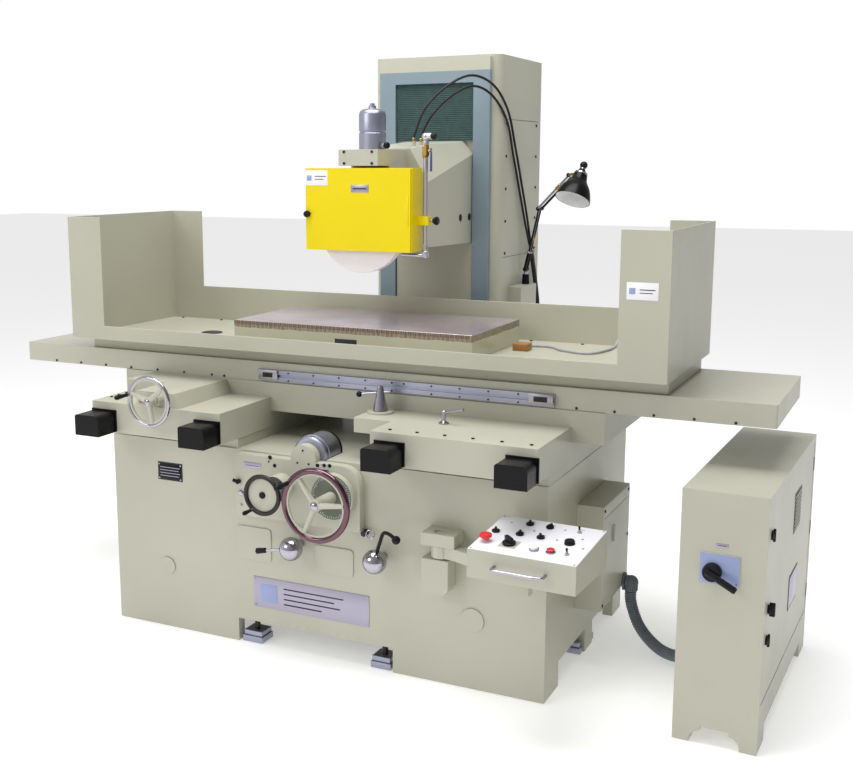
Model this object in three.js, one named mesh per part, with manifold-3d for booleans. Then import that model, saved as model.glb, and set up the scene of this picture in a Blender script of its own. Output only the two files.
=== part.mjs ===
// Surface grinder with a separate switch cabinet. Millimetres, +Z up, front towards -Y.
// Design axes: X = 0 on the column's centre line, Y = 0 on the table's centre line, Z = 0 on the floor.
import * as THREE from 'three';
import { mergeVertices } from 'three/addons/utils/BufferGeometryUtils.js';
import { ConvexGeometry } from 'three/addons/geometries/ConvexGeometry.js';
import Module from 'manifold-3d';

const wasm = await Module();
wasm.setup();

// ---- driving dimensions -------------------------------------------------------------------
const GAP = 0.3; // between faces that seat on each other
const RUN = 0.5; // around a turning shaft

const BED_WIDTH = 1772;
const BED_DEPTH = 976;
const BED_FRONT = -526;
const BED_TOP = 751;
const BED_WALL = 40;
const BED_NOTCH_HEIGHT = 91;
const FRONT_NOTCH_WIDTH = 648;
const SIDE_NOTCHES = [[-371, -55], [42, 330]];
const PEDESTAL_WIDTH = 700;
const WAY_RISE = 37;
const WAY_WIDTH = 104;
const WAY_CENTRES = [-832, -365, 365, 832];
const BOSS_RISE = 5; // cast pads and round bosses on the bed's front

const COLUMN_WIDTH = 578;
const COLUMN_DEPTH = 518;
const COLUMN_FRONT = 565;
const COLUMN_TOP = 2228;
const COLUMN_WALL = 40;
const COLUMN_CORNER = 42;
const SLOT_WIDTH = 224;
const FRAME_WIDTH = 502;
const FRAME_THICK = 24;
const FRAME_BOTTOM = 800;
const WINDOW_WIDTH = 356;
const WINDOW_BOTTOM = 812;
const WINDOW_TOP = 2116;
const WAY_SHEET = 10; // thickness of the covers in the window
const LOWER_COVER_LENGTH = 458;
const SCREW_RADIUS = 22;
const SCREW_Y = 660;

const SADDLE_LENGTH = 2000;
const SADDLE_WIDTH = 584;
const SADDLE_BODY_BOTTOM = 850;
const SADDLE_TOP = 961;
const WING_TOP = 904;
const WING_FRONT = -642;
const WING_INNER_LEFT = -309;
const WING_INNER_RIGHT = 295;
const STEP_LEFT = 148;
const STEP_FRONT = -478;
const WAY_COVER_WIDTH = 110;
const WAY_COVER_LENGTH = 100;
const WAY_COVER_HEIGHT = 78;
const WAY_COVER_BOTTOM = 791;
const WAY_COVER_FLANGE = 6;

const TABLE_LENGTH = 3076;
const TABLE_CENTRE = 12;
const TABLE_WIDTH = 574;
const TABLE_THICK = 77;
const RAIL_START = -359;
const RAIL_LENGTH = 1184;
const RAIL_HEIGHT = 43;
const RAIL_THICK = 14;
const RAIL_SLOT = 9;

const CHUCK_LENGTH = 1000;
const CHUCK_WIDTH = 490;
const CHUCK_HEIGHT = 150;
const CHUCK_CENTRE_X = 5;
const CHUCK_CENTRE_Y = -8;

const GUARD_LEFT = -1199;
const GUARD_LENGTH = 2419;
const GUARD_FRONT = -376;
const GUARD_BACK = 323;
const GUARD_SHEET = 5;
const TRAY_RISE = 52; // the tray floor's underside above the table
const FRONT_WALL_TOP = 1146;
const BACK_WALL_TOP = 1243;
const END_WALL_TOP = 1579;
const RETURN_WIDTH = 164;

const WHEEL_RADIUS = 175;
const WHEEL_WIDTH = 40;
const WHEEL_BORE = 63.5;
const WHEEL_CENTRE_Z = 1555;
const WHEEL_FRONT = -130;
const HOUSING_WIDTH = 442;
const HOUSING_FRONT = -157;
const HOUSING_BACK = -50;
const HOUSING_BOTTOM = 1463.5;
const HOUSING_TOP = 1770;
const HOUSING_SHEET = 5;
const DOOR_THICK = 8;
const HEAD_WIDTH = 348;
const HEAD_FRONT = 100;
const HEAD_BOTTOM = 1458;
const HEAD_TOP = 1880;
const NOSE_HALF_WIDTH = 82;
const NOSE_TOP = 1838;
const NOSE_FRONT = -150;
const SPINDLE_RADIUS = 40;
const TONGUE_HALF_WIDTH = 100;
const PIPE_X = 243;
const PIPE_Y = -80;
const PIPE_RADIUS = 9;
const PIPE_TOP = 1880;

const FEED_BOX_FRONT = -562;
const FEED_BOX = [-300, 214, 512, 745]; // left, right, bottom, top
const MOTOR_RADIUS = 70;
const MOTOR_X = -5;
const MOTOR_Z = 760;
const MOTOR_BACK = -405;
const HANDWHEEL_Y = -700;
const VERTICAL_WHEEL = { x: 115, z: 635, rim: 122, tube: 11 };
const CROSS_WHEEL = { x: -98, z: 645, rim: 67, tube: 8 };
const TABLE_WHEEL = { x: -575, y: -700, z: 936, rim: 88, tube: 7 };

const TANK = [95, 357, 384]; // out, along the bed, high
const TANK_FRONT = -199;
const TANK_BOTTOM = 222;

const CABINET = { x: 1321, y: -566, yaw: -1.7, width: 259, depth: 936, height: 815, sheet: 4 };
const CABINET_RIM = 28;
const CABINET_DOOR_BOTTOM = 150;
const CABINET_PLINTH = 55;
const CABINET_DOOR_THICK = 20;
const DOOR_GAP = 0.8;
const CONDUIT_RADIUS = 22;
const CABINET_GLAND = { y: 518, z: 54, radius: 30, length: 14 };

const PENDANT = { x: 742, y: -870, z: 538, yaw: -2.9, width: 350, depth: 280, front: 91, back: 121 };
const PENDANT_SHEET = 3;
const PENDANT_PIVOT = [530, -575];
const PIVOT_RADIUS = 21.5;

const LAMP_BASE = [315, 844];
const LAMP_BEARING = -10.4; // degrees, direction in which the lamp's arms reach
const JUNCTION_BOX = [56, 700, 900, 1060, 1262]; // out, front, back, bottom, top

// ---- finishes -----------------------------------------------------------------------------
const paint = (color, roughness, metalness) => ({ color, roughness, metalness });
const CREAM = paint(0xbcbcaa, 0.45, 0.0);
const BAND = paint(0x7d8c96, 0.45, 0.0);
const GREEN = paint(0x3c5555, 0.7, 0.0);
const YELLOW = paint(0xebd700, 0.35, 0.0);
const BLACK = paint(0x19191f, 0.4, 0.0);
const CHROME = paint(0xd6d8dc, 0.12, 1.0);
const STEEL = paint(0xa8a8b0, 0.3, 0.9);
const SILVER = paint(0xa0a2b0, 0.4, 0.7);
const PLUM = paint(0x462d32, 0.2, 0.3);
const WHITE = paint(0xe8e8ee, 0.5, 0.0);
const RED = paint(0xc81e28, 0.35, 0.0);
const GROUND = paint(0xa89c9c, 0.35, 0.7);
const ABRASIVE = paint(0xece6e6, 0.9, 0.0);
const SLATE = paint(0x555f7d, 0.6, 0.0);

// ---- shape helpers ------------------------------------------------------------------------
function solid(geometry) {
  geometry.deleteAttribute('normal');
  geometry.deleteAttribute('uv');
  const merged = mergeVertices(geometry, 1e-4);
  const vertProperties = new Float32Array(merged.attributes.position.array);
  const triVerts = new Uint32Array(merged.index.array);
  return new wasm.Manifold(new wasm.Mesh({ numProp: 3, vertProperties, triVerts }));
}

function box(x0, x1, y0, y1, z0, z1) {
  const geometry = new THREE.BoxGeometry(x1 - x0, y1 - y0, z1 - z0);
  return solid(geometry.translate((x0 + x1) / 2, (y0 + y1) / 2, (z0 + z1) / 2));
}

const facets = (radius) => (radius < 12 ? 8 : radius < 45 ? 12 : 20);

// Radius of a faceted hole in which a faceted shaft of this radius turns freely.
const bore = (radius) => (radius + RUN) / Math.cos(Math.PI / facets(radius));

// A cylinder or cone between two points.
function strut(from, to, radius, endRadius = radius, sides = facets(Math.max(radius, endRadius))) {
  const a = new THREE.Vector3(...from);
  const b = new THREE.Vector3(...to);
  const geometry = new THREE.CylinderGeometry(endRadius, radius, a.distanceTo(b), sides);
  const turn = new THREE.Quaternion();
  turn.setFromUnitVectors(new THREE.Vector3(0, 1, 0), b.clone().sub(a).normalize());
  const middle = a.clone().add(b).multiplyScalar(0.5);
  return solid(geometry.applyQuaternion(turn).translate(middle.x, middle.y, middle.z));
}

const rodX = (x0, x1, y, z, radius, sides) => strut([x0, y, z], [x1, y, z], radius, radius, sides);
const rodY = (y0, y1, x, z, radius, sides) => strut([x, y0, z], [x, y1, z], radius, radius, sides);
const rodZ = (z0, z1, x, y, radius, sides) => strut([x, y, z0], [x, y, z1], radius, radius, sides);

function ball(x, y, z, radius) {
  const sides = facets(radius);
  return solid(new THREE.SphereGeometry(radius, sides, Math.round(sides * 0.6)).translate(x, y, z));
}

const outline = (points) => new THREE.Shape(points.map(([u, v]) => new THREE.Vector2(u, v)));

// A rectangle whose four corners have their own radii: low-low, high-low, high-high, low-high.
function roundedOutline(u0, u1, v0, v1, [a, b, c, d]) {
  const shape = new THREE.Shape();
  shape.moveTo(u0 + a, v0);
  shape.lineTo(u1 - b, v0);
  if (b > 0) shape.absarc(u1 - b, v0 + b, b, -Math.PI / 2, 0, false);
  shape.lineTo(u1, v1 - c);
  if (c > 0) shape.absarc(u1 - c, v1 - c, c, 0, Math.PI / 2, false);
  shape.lineTo(u0 + d, v1);
  if (d > 0) shape.absarc(u0 + d, v1 - d, d, Math.PI / 2, Math.PI, false);
  shape.lineTo(u0, v0 + a);
  if (a > 0) shape.absarc(u0 + a, v0 + a, a, Math.PI, 1.5 * Math.PI, false);
  return shape;
}

function extrude(shape, length) {
  return new THREE.ExtrudeGeometry(shape, { depth: length, bevelEnabled: false, curveSegments: 3 });
}

// Outlines drawn in (x, y), (x, z) or (y, z), pushed along the remaining axis.
const prismZ = (shape, z0, z1) => solid(extrude(shape, z1 - z0).translate(0, 0, z0));
const prismY = (shape, y0, y1) => solid(extrude(shape, y1 - y0).rotateX(Math.PI / 2).translate(0, y1, 0));

function prismX(shape, x0, x1) {
  const axes = new THREE.Matrix4().makeBasis(
    new THREE.Vector3(0, 1, 0), new THREE.Vector3(0, 0, 1), new THREE.Vector3(1, 0, 0));
  return solid(extrude(shape, x1 - x0).applyMatrix4(axes).translate(x0, 0, 0));
}

function hull(points) {
  return solid(new ConvexGeometry(points.map((p) => new THREE.Vector3(...p))));
}

function tube(points, radius, sides, steps) {
  const section = new THREE.Shape();
  section.absarc(0, 0, radius, 0, 2 * Math.PI, false);
  const path = new THREE.CatmullRomCurve3(points.map((p) => new THREE.Vector3(...p)), false, 'centripetal');
  const options = { extrudePath: path, steps, bevelEnabled: false, curveSegments: sides / 2 };
  return solid(new THREE.ExtrudeGeometry(section, options));
}

function torus(x, y, z, rim, radius) {
  return solid(new THREE.TorusGeometry(rim, radius, 6, 24).rotateX(Math.PI / 2).translate(x, y, z));
}

const join = (...solids) => solids.reduce((whole, next) => whole.add(next));

function piece(name, shape, finish) {
  const { vertProperties, triVerts } = shape.getMesh();
  const geometry = new THREE.BufferGeometry();
  geometry.setAttribute('position', new THREE.BufferAttribute(vertProperties, 3));
  geometry.setIndex(new THREE.BufferAttribute(triVerts, 1));
  geometry.computeVertexNormals();
  const mesh = new THREE.Mesh(geometry, new THREE.MeshStandardMaterial(finish));
  mesh.name = name;
  return mesh;
}

// ---- bed and column -----------------------------------------------------------------------
const bedHalf = BED_WIDTH / 2;
const bedBack = BED_FRONT + BED_DEPTH;
const pedestalHalf = PEDESTAL_WIDTH / 2;
const pedestalBack = COLUMN_FRONT + COLUMN_DEPTH + 20;
const wayTop = BED_TOP + WAY_RISE;

function bed() {
  let body = join(
    box(-bedHalf, bedHalf, BED_FRONT, bedBack, 0, BED_TOP),
    box(-pedestalHalf, pedestalHalf, bedBack - BED_WALL, pedestalBack, 0, BED_TOP));
  for (const x of WAY_CENTRES) {
    body = body.add(box(x - WAY_WIDTH / 2, x + WAY_WIDTH / 2, BED_FRONT + 8, bedBack, BED_TOP - 5, wayTop));
  }
  const inside = [bedHalf - BED_WALL, BED_FRONT + BED_WALL, bedBack - BED_WALL, BED_TOP - BED_WALL];
  body = body.subtract(box(-inside[0], inside[0], inside[1], inside[2], -1, inside[3]));
  body = body.subtract(
    box(BED_WALL - pedestalHalf, pedestalHalf - BED_WALL, bedBack, pedestalBack - BED_WALL, -1, inside[3]));
  const notch = FRONT_NOTCH_WIDTH / 2;
  body = body.subtract(box(-notch, notch, BED_FRONT - 20, pedestalBack + 20, -1, BED_NOTCH_HEIGHT));
  for (const [from, to] of SIDE_NOTCHES) {
    body = body.subtract(box(-bedHalf - 20, bedHalf + 20, from, to, -1, BED_NOTCH_HEIGHT));
  }
  const face = BED_FRONT + 5;
  const proud = BED_FRONT - BOSS_RISE;
  body = join(body,
    rodY(proud, face, -645, 249, 35),
    rodY(proud, face, 626, 250, 44),
    prismY(roundedOutline(-322, -172, 332, 460, [14, 14, 14, 14]), proud, face),
    prismY(roundedOutline(11, 169, 329, 431, [14, 14, 14, 14]), proud, face));
  return body.subtract(rodY(BED_FRONT - 5, MOTOR_BACK + GAP, MOTOR_X, MOTOR_Z, MOTOR_RADIUS + GAP));
}

const columnHalf = COLUMN_WIDTH / 2;
const columnBack = COLUMN_FRONT + COLUMN_DEPTH;
const columnBottom = BED_TOP + GAP;

function column() {
  const section = roundedOutline(-columnHalf, columnHalf, COLUMN_FRONT, columnBack,
    [COLUMN_CORNER, COLUMN_CORNER, 6, 6]);
  const inside = [columnHalf - COLUMN_WALL, COLUMN_FRONT + COLUMN_WALL, columnBack - COLUMN_WALL];
  const [out, front, back, bottom, top] = JUNCTION_BOX;
  const shell = prismZ(section, columnBottom, COLUMN_TOP)
    .subtract(box(-inside[0], inside[0], inside[1], inside[2], 0, COLUMN_TOP - COLUMN_WALL))
    .subtract(box(-SLOT_WIDTH / 2, SLOT_WIDTH / 2, COLUMN_FRONT - 5, inside[1] + 5, 1290, HEAD_TOP + 10));
  return join(shell,
    box(columnHalf - 5, columnHalf + out, front, back, bottom, top),
    rodX(columnHalf - 5, columnHalf + 4, 1050, 1090, 16));
}

const frameFront = COLUMN_FRONT - FRAME_THICK;

function columnFrontFrame() {
  const half = FRAME_WIDTH / 2;
  const window = WINDOW_WIDTH / 2;
  const outer = roundedOutline(-half, half, FRAME_BOTTOM, COLUMN_TOP - 2, [8, 8, 14, 14]);
  return prismY(outer, frameFront, COLUMN_FRONT - GAP)
    .subtract(box(-window, window, frameFront - 5, COLUMN_FRONT + 5, WINDOW_BOTTOM, WINDOW_TOP));
}

const sheetFront = frameFront + 9;
const sheetHalf = WINDOW_WIDTH / 2 - 2;

const upperWayCover = () =>
  box(-sheetHalf, sheetHalf, sheetFront, sheetFront + WAY_SHEET, HEAD_TOP + GAP, WINDOW_TOP - GAP);

const lowerWayCover = () =>
  box(-sheetHalf, sheetHalf, sheetFront, sheetFront + WAY_SHEET,
    HEAD_BOTTOM - LOWER_COVER_LENGTH, HEAD_BOTTOM - GAP);

function elevatingScrew() {
  return join(
    rodZ(BED_TOP + GAP, BED_TOP + 50, 0, SCREW_Y, 38),
    rodZ(BED_TOP + 45, COLUMN_TOP - 80, 0, SCREW_Y, SCREW_RADIUS));
}

// ---- cross and vertical feed --------------------------------------------------------------
const feedBoxBack = BED_FRONT - GAP;
const bossFront = FEED_BOX_FRONT - 60;

function feedBox() {
  const [left, right, bottom, top] = FEED_BOX;
  const plate = roundedOutline(left, right, bottom, top, [10, 10, 70, 10]);
  return join(
    prismY(plate, FEED_BOX_FRONT, feedBoxBack),
    rodY(FEED_BOX_FRONT, feedBoxBack, MOTOR_X - 7, MOTOR_Z - 7, 52),
    rodY(FEED_BOX_FRONT - 26, FEED_BOX_FRONT + 5, VERTICAL_WHEEL.x, VERTICAL_WHEEL.z, 84),
    rodY(bossFront, FEED_BOX_FRONT + 5, CROSS_WHEEL.x, CROSS_WHEEL.z, 48));
}

function feedMotor() {
  const front = BED_FRONT - GAP + 2 * GAP;
  return join(
    rodY(front, MOTOR_BACK - 12, MOTOR_X, MOTOR_Z, MOTOR_RADIUS - 3),
    rodY(front, front + 22, MOTOR_X, MOTOR_Z, MOTOR_RADIUS),
    rodY(MOTOR_BACK - 14, MOTOR_BACK, MOTOR_X, MOTOR_Z, MOTOR_RADIUS));
}

// A spoked handwheel turning about an axis along Y, with its crank handle standing forwards.
function handwheel({ x, y, z, rim, tube: thick, hub, hubBack, spokeTurn, handleTurn, handle, grip, web }) {
  const at = (turn, radius) => [x + radius * Math.cos(turn), y, z + radius * Math.sin(turn)];
  let wheel = join(torus(x, y, z, rim, thick), rodY(y - 14, hubBack, x, z, hub));
  for (let k = 0; k < 3; k += 1) {
    wheel = wheel.add(strut([x, y, z], at(spokeTurn + (k * 2 * Math.PI) / 3, rim), thick * 0.7));
  }
  if (web > 0) wheel = wheel.add(rodY(y + 2, y + 2 + web, x, z, rim));
  const [hx, , hz] = at(handleTurn, rim);
  return join(wheel, rodY(y - thick - handle, y, hx, hz, grip));
}

const verticalHandwheel = () => handwheel({
  ...VERTICAL_WHEEL, y: HANDWHEEL_Y, hub: 22, hubBack: FEED_BOX_FRONT - 26 - GAP,
  spokeTurn: 2.2, handleTurn: 2.5, handle: 88, grip: 11, web: 0 });

const crossHandwheel = () => handwheel({
  ...CROSS_WHEEL, y: HANDWHEEL_Y, hub: 17, hubBack: bossFront - GAP,
  spokeTurn: 0.5, handleTurn: 4.1, handle: 55, grip: 8, web: 5 });

const LEVER_BALL = 43;
const LEVER_Y = -600;

function feedLever() {
  const [x, z] = [-45, 427];
  return join(
    rodY(LEVER_Y, BED_FRONT - GAP, x, z, 15),
    ball(x, LEVER_Y, z, LEVER_BALL),
    strut([x, LEVER_Y, z], [-150, -606, 408], 5),
    strut([-145, -606, 409], [-186, -608, 401], 11));
}

function speedLever() {
  const [x, z] = [290, 430];
  const elbow = [336, -620, 546];
  const knob = [392, -640, 535];
  return join(
    rodY(LEVER_Y, BED_FRONT - GAP, x, z, 15),
    ball(x, LEVER_Y, z, LEVER_BALL),
    strut([x, LEVER_Y, z], elbow, 7),
    ball(...elbow, 9),
    strut(elbow, knob, 7),
    ball(...knob, 15));
}

// ---- saddle -------------------------------------------------------------------------------
const saddleHalf = SADDLE_LENGTH / 2;
const saddleFront = -SADDLE_WIDTH / 2;
const saddleBottom = wayTop + GAP;
const WHEEL_HOUSING = { left: -866, right: -485, top: 958, front: WING_FRONT + 6 };

function saddle() {
  const wing = (x0, x1) => box(x0, x1, WING_FRONT, -saddleFront, saddleBottom, WING_TOP);
  const { left, right, top, front } = WHEEL_HOUSING;
  const middle = TABLE_WHEEL.x - 105;
  const slant = 25;
  const housing = hull([
    [middle, front, WING_TOP - 5], [right, front, WING_TOP - 5], [middle, front, top],
    [right - slant, front, top], [middle, saddleFront + 5, WING_TOP - 5],
    [right, saddleFront + 5, WING_TOP - 5], [middle, saddleFront + 5, top],
    [right - slant, saddleFront + 5, top]]);
  const [coneX, coneY] = REVERSING_LEVER;
  return join(
    box(-saddleHalf, saddleHalf, saddleFront, -saddleFront, SADDLE_BODY_BOTTOM, SADDLE_TOP - GAP),
    wing(-bedHalf, WING_INNER_LEFT),
    wing(WING_INNER_RIGHT, bedHalf),
    box(STEP_LEFT, WING_INNER_RIGHT + 5, STEP_FRONT, saddleFront + 5, SADDLE_BODY_BOTTOM, WING_TOP),
    housing,
    box(left, middle + 5, front + 180, saddleFront + 5, WING_TOP - 5, top),
    rodY(TABLE_WHEEL.y + 30, front + 5, TABLE_WHEEL.x, TABLE_WHEEL.z, 24),
    rodZ(WING_TOP - 5, WING_TOP + 8, coneX, coneY, 48));
}

function wayCover(centre) {
  const [left, right] = [centre - WAY_COVER_WIDTH / 2, centre + WAY_COVER_WIDTH / 2];
  const back = WING_FRONT - GAP;
  const top = WAY_COVER_BOTTOM + WAY_COVER_HEIGHT;
  const body = roundedOutline(left, right, WAY_COVER_BOTTOM, top, [2, 2, 24, 10]);
  return join(
    prismY(body, back - WAY_COVER_LENGTH, back),
    box(left + 2, right + 5, back - WAY_COVER_FLANGE, back, WAY_COVER_BOTTOM + 3, top + 7));
}

const tableHandwheel = () => handwheel({
  ...TABLE_WHEEL, hub: 17, hubBack: TABLE_WHEEL.y + 30 - GAP,
  spokeTurn: 2.8, handleTurn: 2.9, handle: 75, grip: 9, web: 0 });

const REVERSING_LEVER = [200, -371];

function reversingLever() {
  const [x, y] = REVERSING_LEVER;
  const seat = WING_TOP + 8 + GAP;
  const pin = seat + 66;
  return join(
    strut([x, y, seat], [x, y, seat + 82], 27, 12),
    strut([x, y, seat + 78], [x, y, seat + 92], 12, 9),
    strut([x - 70, y - 20, pin - 8], [x + 34, y + 10, pin + 4], 4.5),
    ball(x - 74, y - 21, pin - 8.5, 11));
}

const CLAMP_LEVER = [475, -434];

function clampLever() {
  const [x, y] = CLAMP_LEVER;
  const seat = WING_TOP + GAP;
  return join(
    rodZ(seat, seat + 5, x, y, 18),
    rodZ(seat, seat + 46, x, y, 7),
    strut([x - 6, y + 1, seat + 36], [x + 78, y - 12, seat + 58], 4.5));
}

// ---- table, chuck and splash guard --------------------------------------------------------
const tableTop = SADDLE_TOP + TABLE_THICK;
const tableFront = -TABLE_WIDTH / 2;

function table() {
  const [left, right] = [TABLE_CENTRE - TABLE_LENGTH / 2, TABLE_CENTRE + TABLE_LENGTH / 2];
  return prismZ(roundedOutline(left, right, tableFront, -tableFront, [8, 8, 8, 8]), SADDLE_TOP, tableTop);
}

const railFront = tableFront - GAP - RAIL_THICK;

function tripRail() {
  const bottom = SADDLE_TOP + 7;
  const middle = bottom + RAIL_HEIGHT / 2;
  const half = RAIL_SLOT / 2;
  return box(RAIL_START, RAIL_START + RAIL_LENGTH, railFront, tableFront - GAP, bottom, bottom + RAIL_HEIGHT)
    .subtract(box(RAIL_START - 5, RAIL_START + RAIL_LENGTH + 5, railFront - 5, railFront + 7,
      middle - half, middle + half));
}

const chuckBottom = tableTop + GAP;
const chuckEdges = [
  CHUCK_CENTRE_X - CHUCK_LENGTH / 2, CHUCK_CENTRE_X + CHUCK_LENGTH / 2,
  CHUCK_CENTRE_Y - CHUCK_WIDTH / 2, CHUCK_CENTRE_Y + CHUCK_WIDTH / 2];

const chuck = () => box(...chuckEdges, chuckBottom, chuckBottom + CHUCK_HEIGHT);

function splashGuard() {
  const [left, right] = [GUARD_LEFT, GUARD_LEFT + GUARD_LENGTH];
  const s = GUARD_SHEET;
  const seat = tableTop + GAP;
  const floor = tableTop + TRAY_RISE;
  const [x0, x1, y0, y1] = chuckEdges;
  const skirt = 18;
  const skirtWall = 20;
  const tray = join(
    box(left, right, GUARD_FRONT, GUARD_BACK, floor, floor + s),
    box(left + skirt, right - skirt, tableFront + skirt, -tableFront - skirt, seat, floor + 2));
  const hollow = box(left + skirt + skirtWall, right - skirt - skirtWall, tableFront + skirt + skirtWall,
    y1 + 6, seat - 5, floor - 5);
  return join(tray.subtract(hollow).subtract(box(x0 - GAP, x1 + GAP, y0 - GAP, y1 + GAP, seat - 5, floor + 20)),
    box(left, right, GUARD_FRONT, GUARD_FRONT + s, floor, FRONT_WALL_TOP),
    box(left, right, GUARD_BACK - s, GUARD_BACK, floor, BACK_WALL_TOP),
    box(left, left + s, GUARD_FRONT, GUARD_BACK, floor, END_WALL_TOP),
    box(right - s, right, GUARD_FRONT, GUARD_BACK, floor, END_WALL_TOP),
    box(left, left + RETURN_WIDTH, GUARD_FRONT, GUARD_FRONT + s, floor, END_WALL_TOP),
    box(right - RETURN_WIDTH, right, GUARD_FRONT, GUARD_FRONT + s, floor, END_WALL_TOP),
    box(left, left + RETURN_WIDTH, GUARD_BACK - s, GUARD_BACK, floor, END_WALL_TOP),
    box(right - RETURN_WIDTH, right, GUARD_BACK - s, GUARD_BACK, floor, END_WALL_TOP));
}

// ---- wheelhead ----------------------------------------------------------------------------
const headBack = COLUMN_FRONT - GAP;
const FITTING_TOP = 1872; // where the two oil hoses leave the head
const housingFace = HOUSING_BACK + GAP;

function wheelhead() {
  const half = HEAD_WIDTH / 2;
  const body = hull([
    [-half, HEAD_FRONT, HEAD_BOTTOM + 8], [half, HEAD_FRONT, HEAD_BOTTOM + 8],
    [-half, HEAD_FRONT, 1716], [half, HEAD_FRONT, 1716],
    [-96, HEAD_FRONT, NOSE_TOP + 6], [96, HEAD_FRONT, NOSE_TOP + 6],
    [-half, headBack, HEAD_BOTTOM], [half, headBack, HEAD_BOTTOM],
    [-half, headBack, 1828], [half, headBack, 1828],
    [-130, headBack, HEAD_TOP], [130, headBack, HEAD_TOP]]);
  const t = TONGUE_HALF_WIDTH;
  return join(body,
    box(-NOSE_HALF_WIDTH, NOSE_HALF_WIDTH, NOSE_FRONT, HEAD_FRONT + 60, HOUSING_TOP + 8, NOSE_TOP),
    box(-NOSE_HALF_WIDTH, NOSE_HALF_WIDTH, housingFace, HEAD_FRONT + 20, WHEEL_CENTRE_Z, HOUSING_TOP + 20),
    rodY(housingFace, HEAD_FRONT + 20, 0, WHEEL_CENTRE_Z, 95),
    box(-t, t, headBack - 20, SCREW_Y + 60, HEAD_BOTTOM + 42, HEAD_BOTTOM + 322),
    rodZ(NOSE_TOP, FITTING_TOP, 60, 215, 8, 6),
    rodZ(NOSE_TOP, FITTING_TOP, 60, 285, 8, 6))
    .subtract(rodY(housingFace - 5, headBack - 140, 0, WHEEL_CENTRE_Z, bore(SPINDLE_RADIUS)))
    .subtract(rodZ(HEAD_BOTTOM, HEAD_TOP, 0, SCREW_Y, bore(SCREW_RADIUS)));
}

const wheelBack = WHEEL_FRONT + WHEEL_WIDTH;

function spindle() {
  return join(
    rodY(wheelBack + 2, headBack - 142, 0, WHEEL_CENTRE_Z, SPINDLE_RADIUS),
    rodY(wheelBack + GAP, wheelBack + 10, 0, WHEEL_CENTRE_Z, 78),
    rodY(WHEEL_FRONT - 6, wheelBack + 5, 0, WHEEL_CENTRE_Z, WHEEL_BORE - GAP),
    rodY(WHEEL_FRONT - 13, WHEEL_FRONT, 0, WHEEL_CENTRE_Z, 28, 6));
}

function grindingWheel() {
  return rodY(WHEEL_FRONT, wheelBack, 0, WHEEL_CENTRE_Z, WHEEL_RADIUS, 40)
    .subtract(rodY(WHEEL_FRONT - 5, wheelBack + 5, 0, WHEEL_CENTRE_Z, WHEEL_BORE));
}

const housingHalf = HOUSING_WIDTH / 2;
const doorBack = HOUSING_FRONT + DOOR_THICK;
const CLAMP_Z = [1562, 1594];

function wheelGuard() {
  const s = HOUSING_SHEET;
  const shellFront = doorBack + GAP;
  const plan = roundedOutline(-housingHalf, housingHalf, shellFront, HOUSING_BACK, [0, 0, 14, 14]);
  const shell = prismZ(plan, HOUSING_BOTTOM, HOUSING_TOP)
    .subtract(box(s - housingHalf, housingHalf - s, shellFront - 5, HOUSING_BACK - s,
      HOUSING_BOTTOM - 5, HOUSING_TOP - s))
    .subtract(rodY(HOUSING_BACK - s - 5, HOUSING_BACK + 5, 0, WHEEL_CENTRE_Z, 82));
  const clamp = box(housingHalf - 2, PIPE_X + 19, PIPE_Y - 20, PIPE_Y + 20, ...CLAMP_Z)
    .subtract(rodZ(CLAMP_Z[0] - 5, CLAMP_Z[1] + 5, PIPE_X, PIPE_Y, PIPE_RADIUS + GAP));
  return join(shell, clamp);
}

function guardDoor() {
  const front = roundedOutline(-housingHalf, housingHalf - 4, HOUSING_BOTTOM, HOUSING_TOP, [3, 3, 3, 3]);
  return join(
    prismY(front, HOUSING_FRONT, doorBack),
    rodY(HOUSING_FRONT - 16, HOUSING_FRONT + 2, -housingHalf + 9, 1598, 11));
}

function coolantPipe() {
  const [x, y, r] = [PIPE_X, PIPE_Y, PIPE_RADIUS];
  return join(
    rodZ(1452, PIPE_TOP, x, y, r),
    rodZ(1441, 1466, x, y, 14),
    ball(x, y, PIPE_TOP + 2, 15),
    rodX(x, x + 42, y, PIPE_TOP + 4, 11),
    rodX(152, x, y - 12, 1450, 6),
    rodY(y - 12, y, x, 1450, 8),
    rodZ(1812, 1852, x, y, 14, 6),
    rodX(x, x + 20, y, 1832, 6));
}

function valveLever() {
  const x = PIPE_X + 20 + GAP;
  return box(x, x + 4, PIPE_Y - 8, PIPE_Y + 8, 1756, 1842);
}

function oilMistUnit() {
  const profile = [[0, 0], [51, 0], [51, 62], [48, 66], [51, 70], [51, 132], [42, 148], [16, 152],
    [14, 162], [9, 164], [9, 172], [0, 172]];
  const shape = new THREE.LatheGeometry(profile.map(([r, h]) => new THREE.Vector2(r, h)), 18);
  return solid(shape.rotateX(Math.PI / 2).translate(0, -30, NOSE_TOP + GAP));
}

// ---- electrics on the bed's right side, conduit and hoses ---------------------------------
const tankInner = bedHalf + GAP;
const tankOuter = tankInner + TANK[0];
const GLAND_AT = [108, 238];

function sideTank() {
  return prismY(roundedOutline(tankInner, tankOuter, TANK_BOTTOM, TANK_BOTTOM + TANK[2], [2, 6, 6, 2]),
    TANK_FRONT, TANK_FRONT + TANK[1]);
}

const CONDUIT_ROUTE = [[1012, 104, 204], [1012, 103.3, 198], [1013, 101, 178], [1022.6, 94, 145], [1053, 72, 92], [1100, 40, 55],
  [1157, 4, 35], [1205, -20, 34], [1250, -38, 44], [1290, -46.6, 53], [1312, -47.4, 54], [1321.2, -47.7, 54]];

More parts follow.
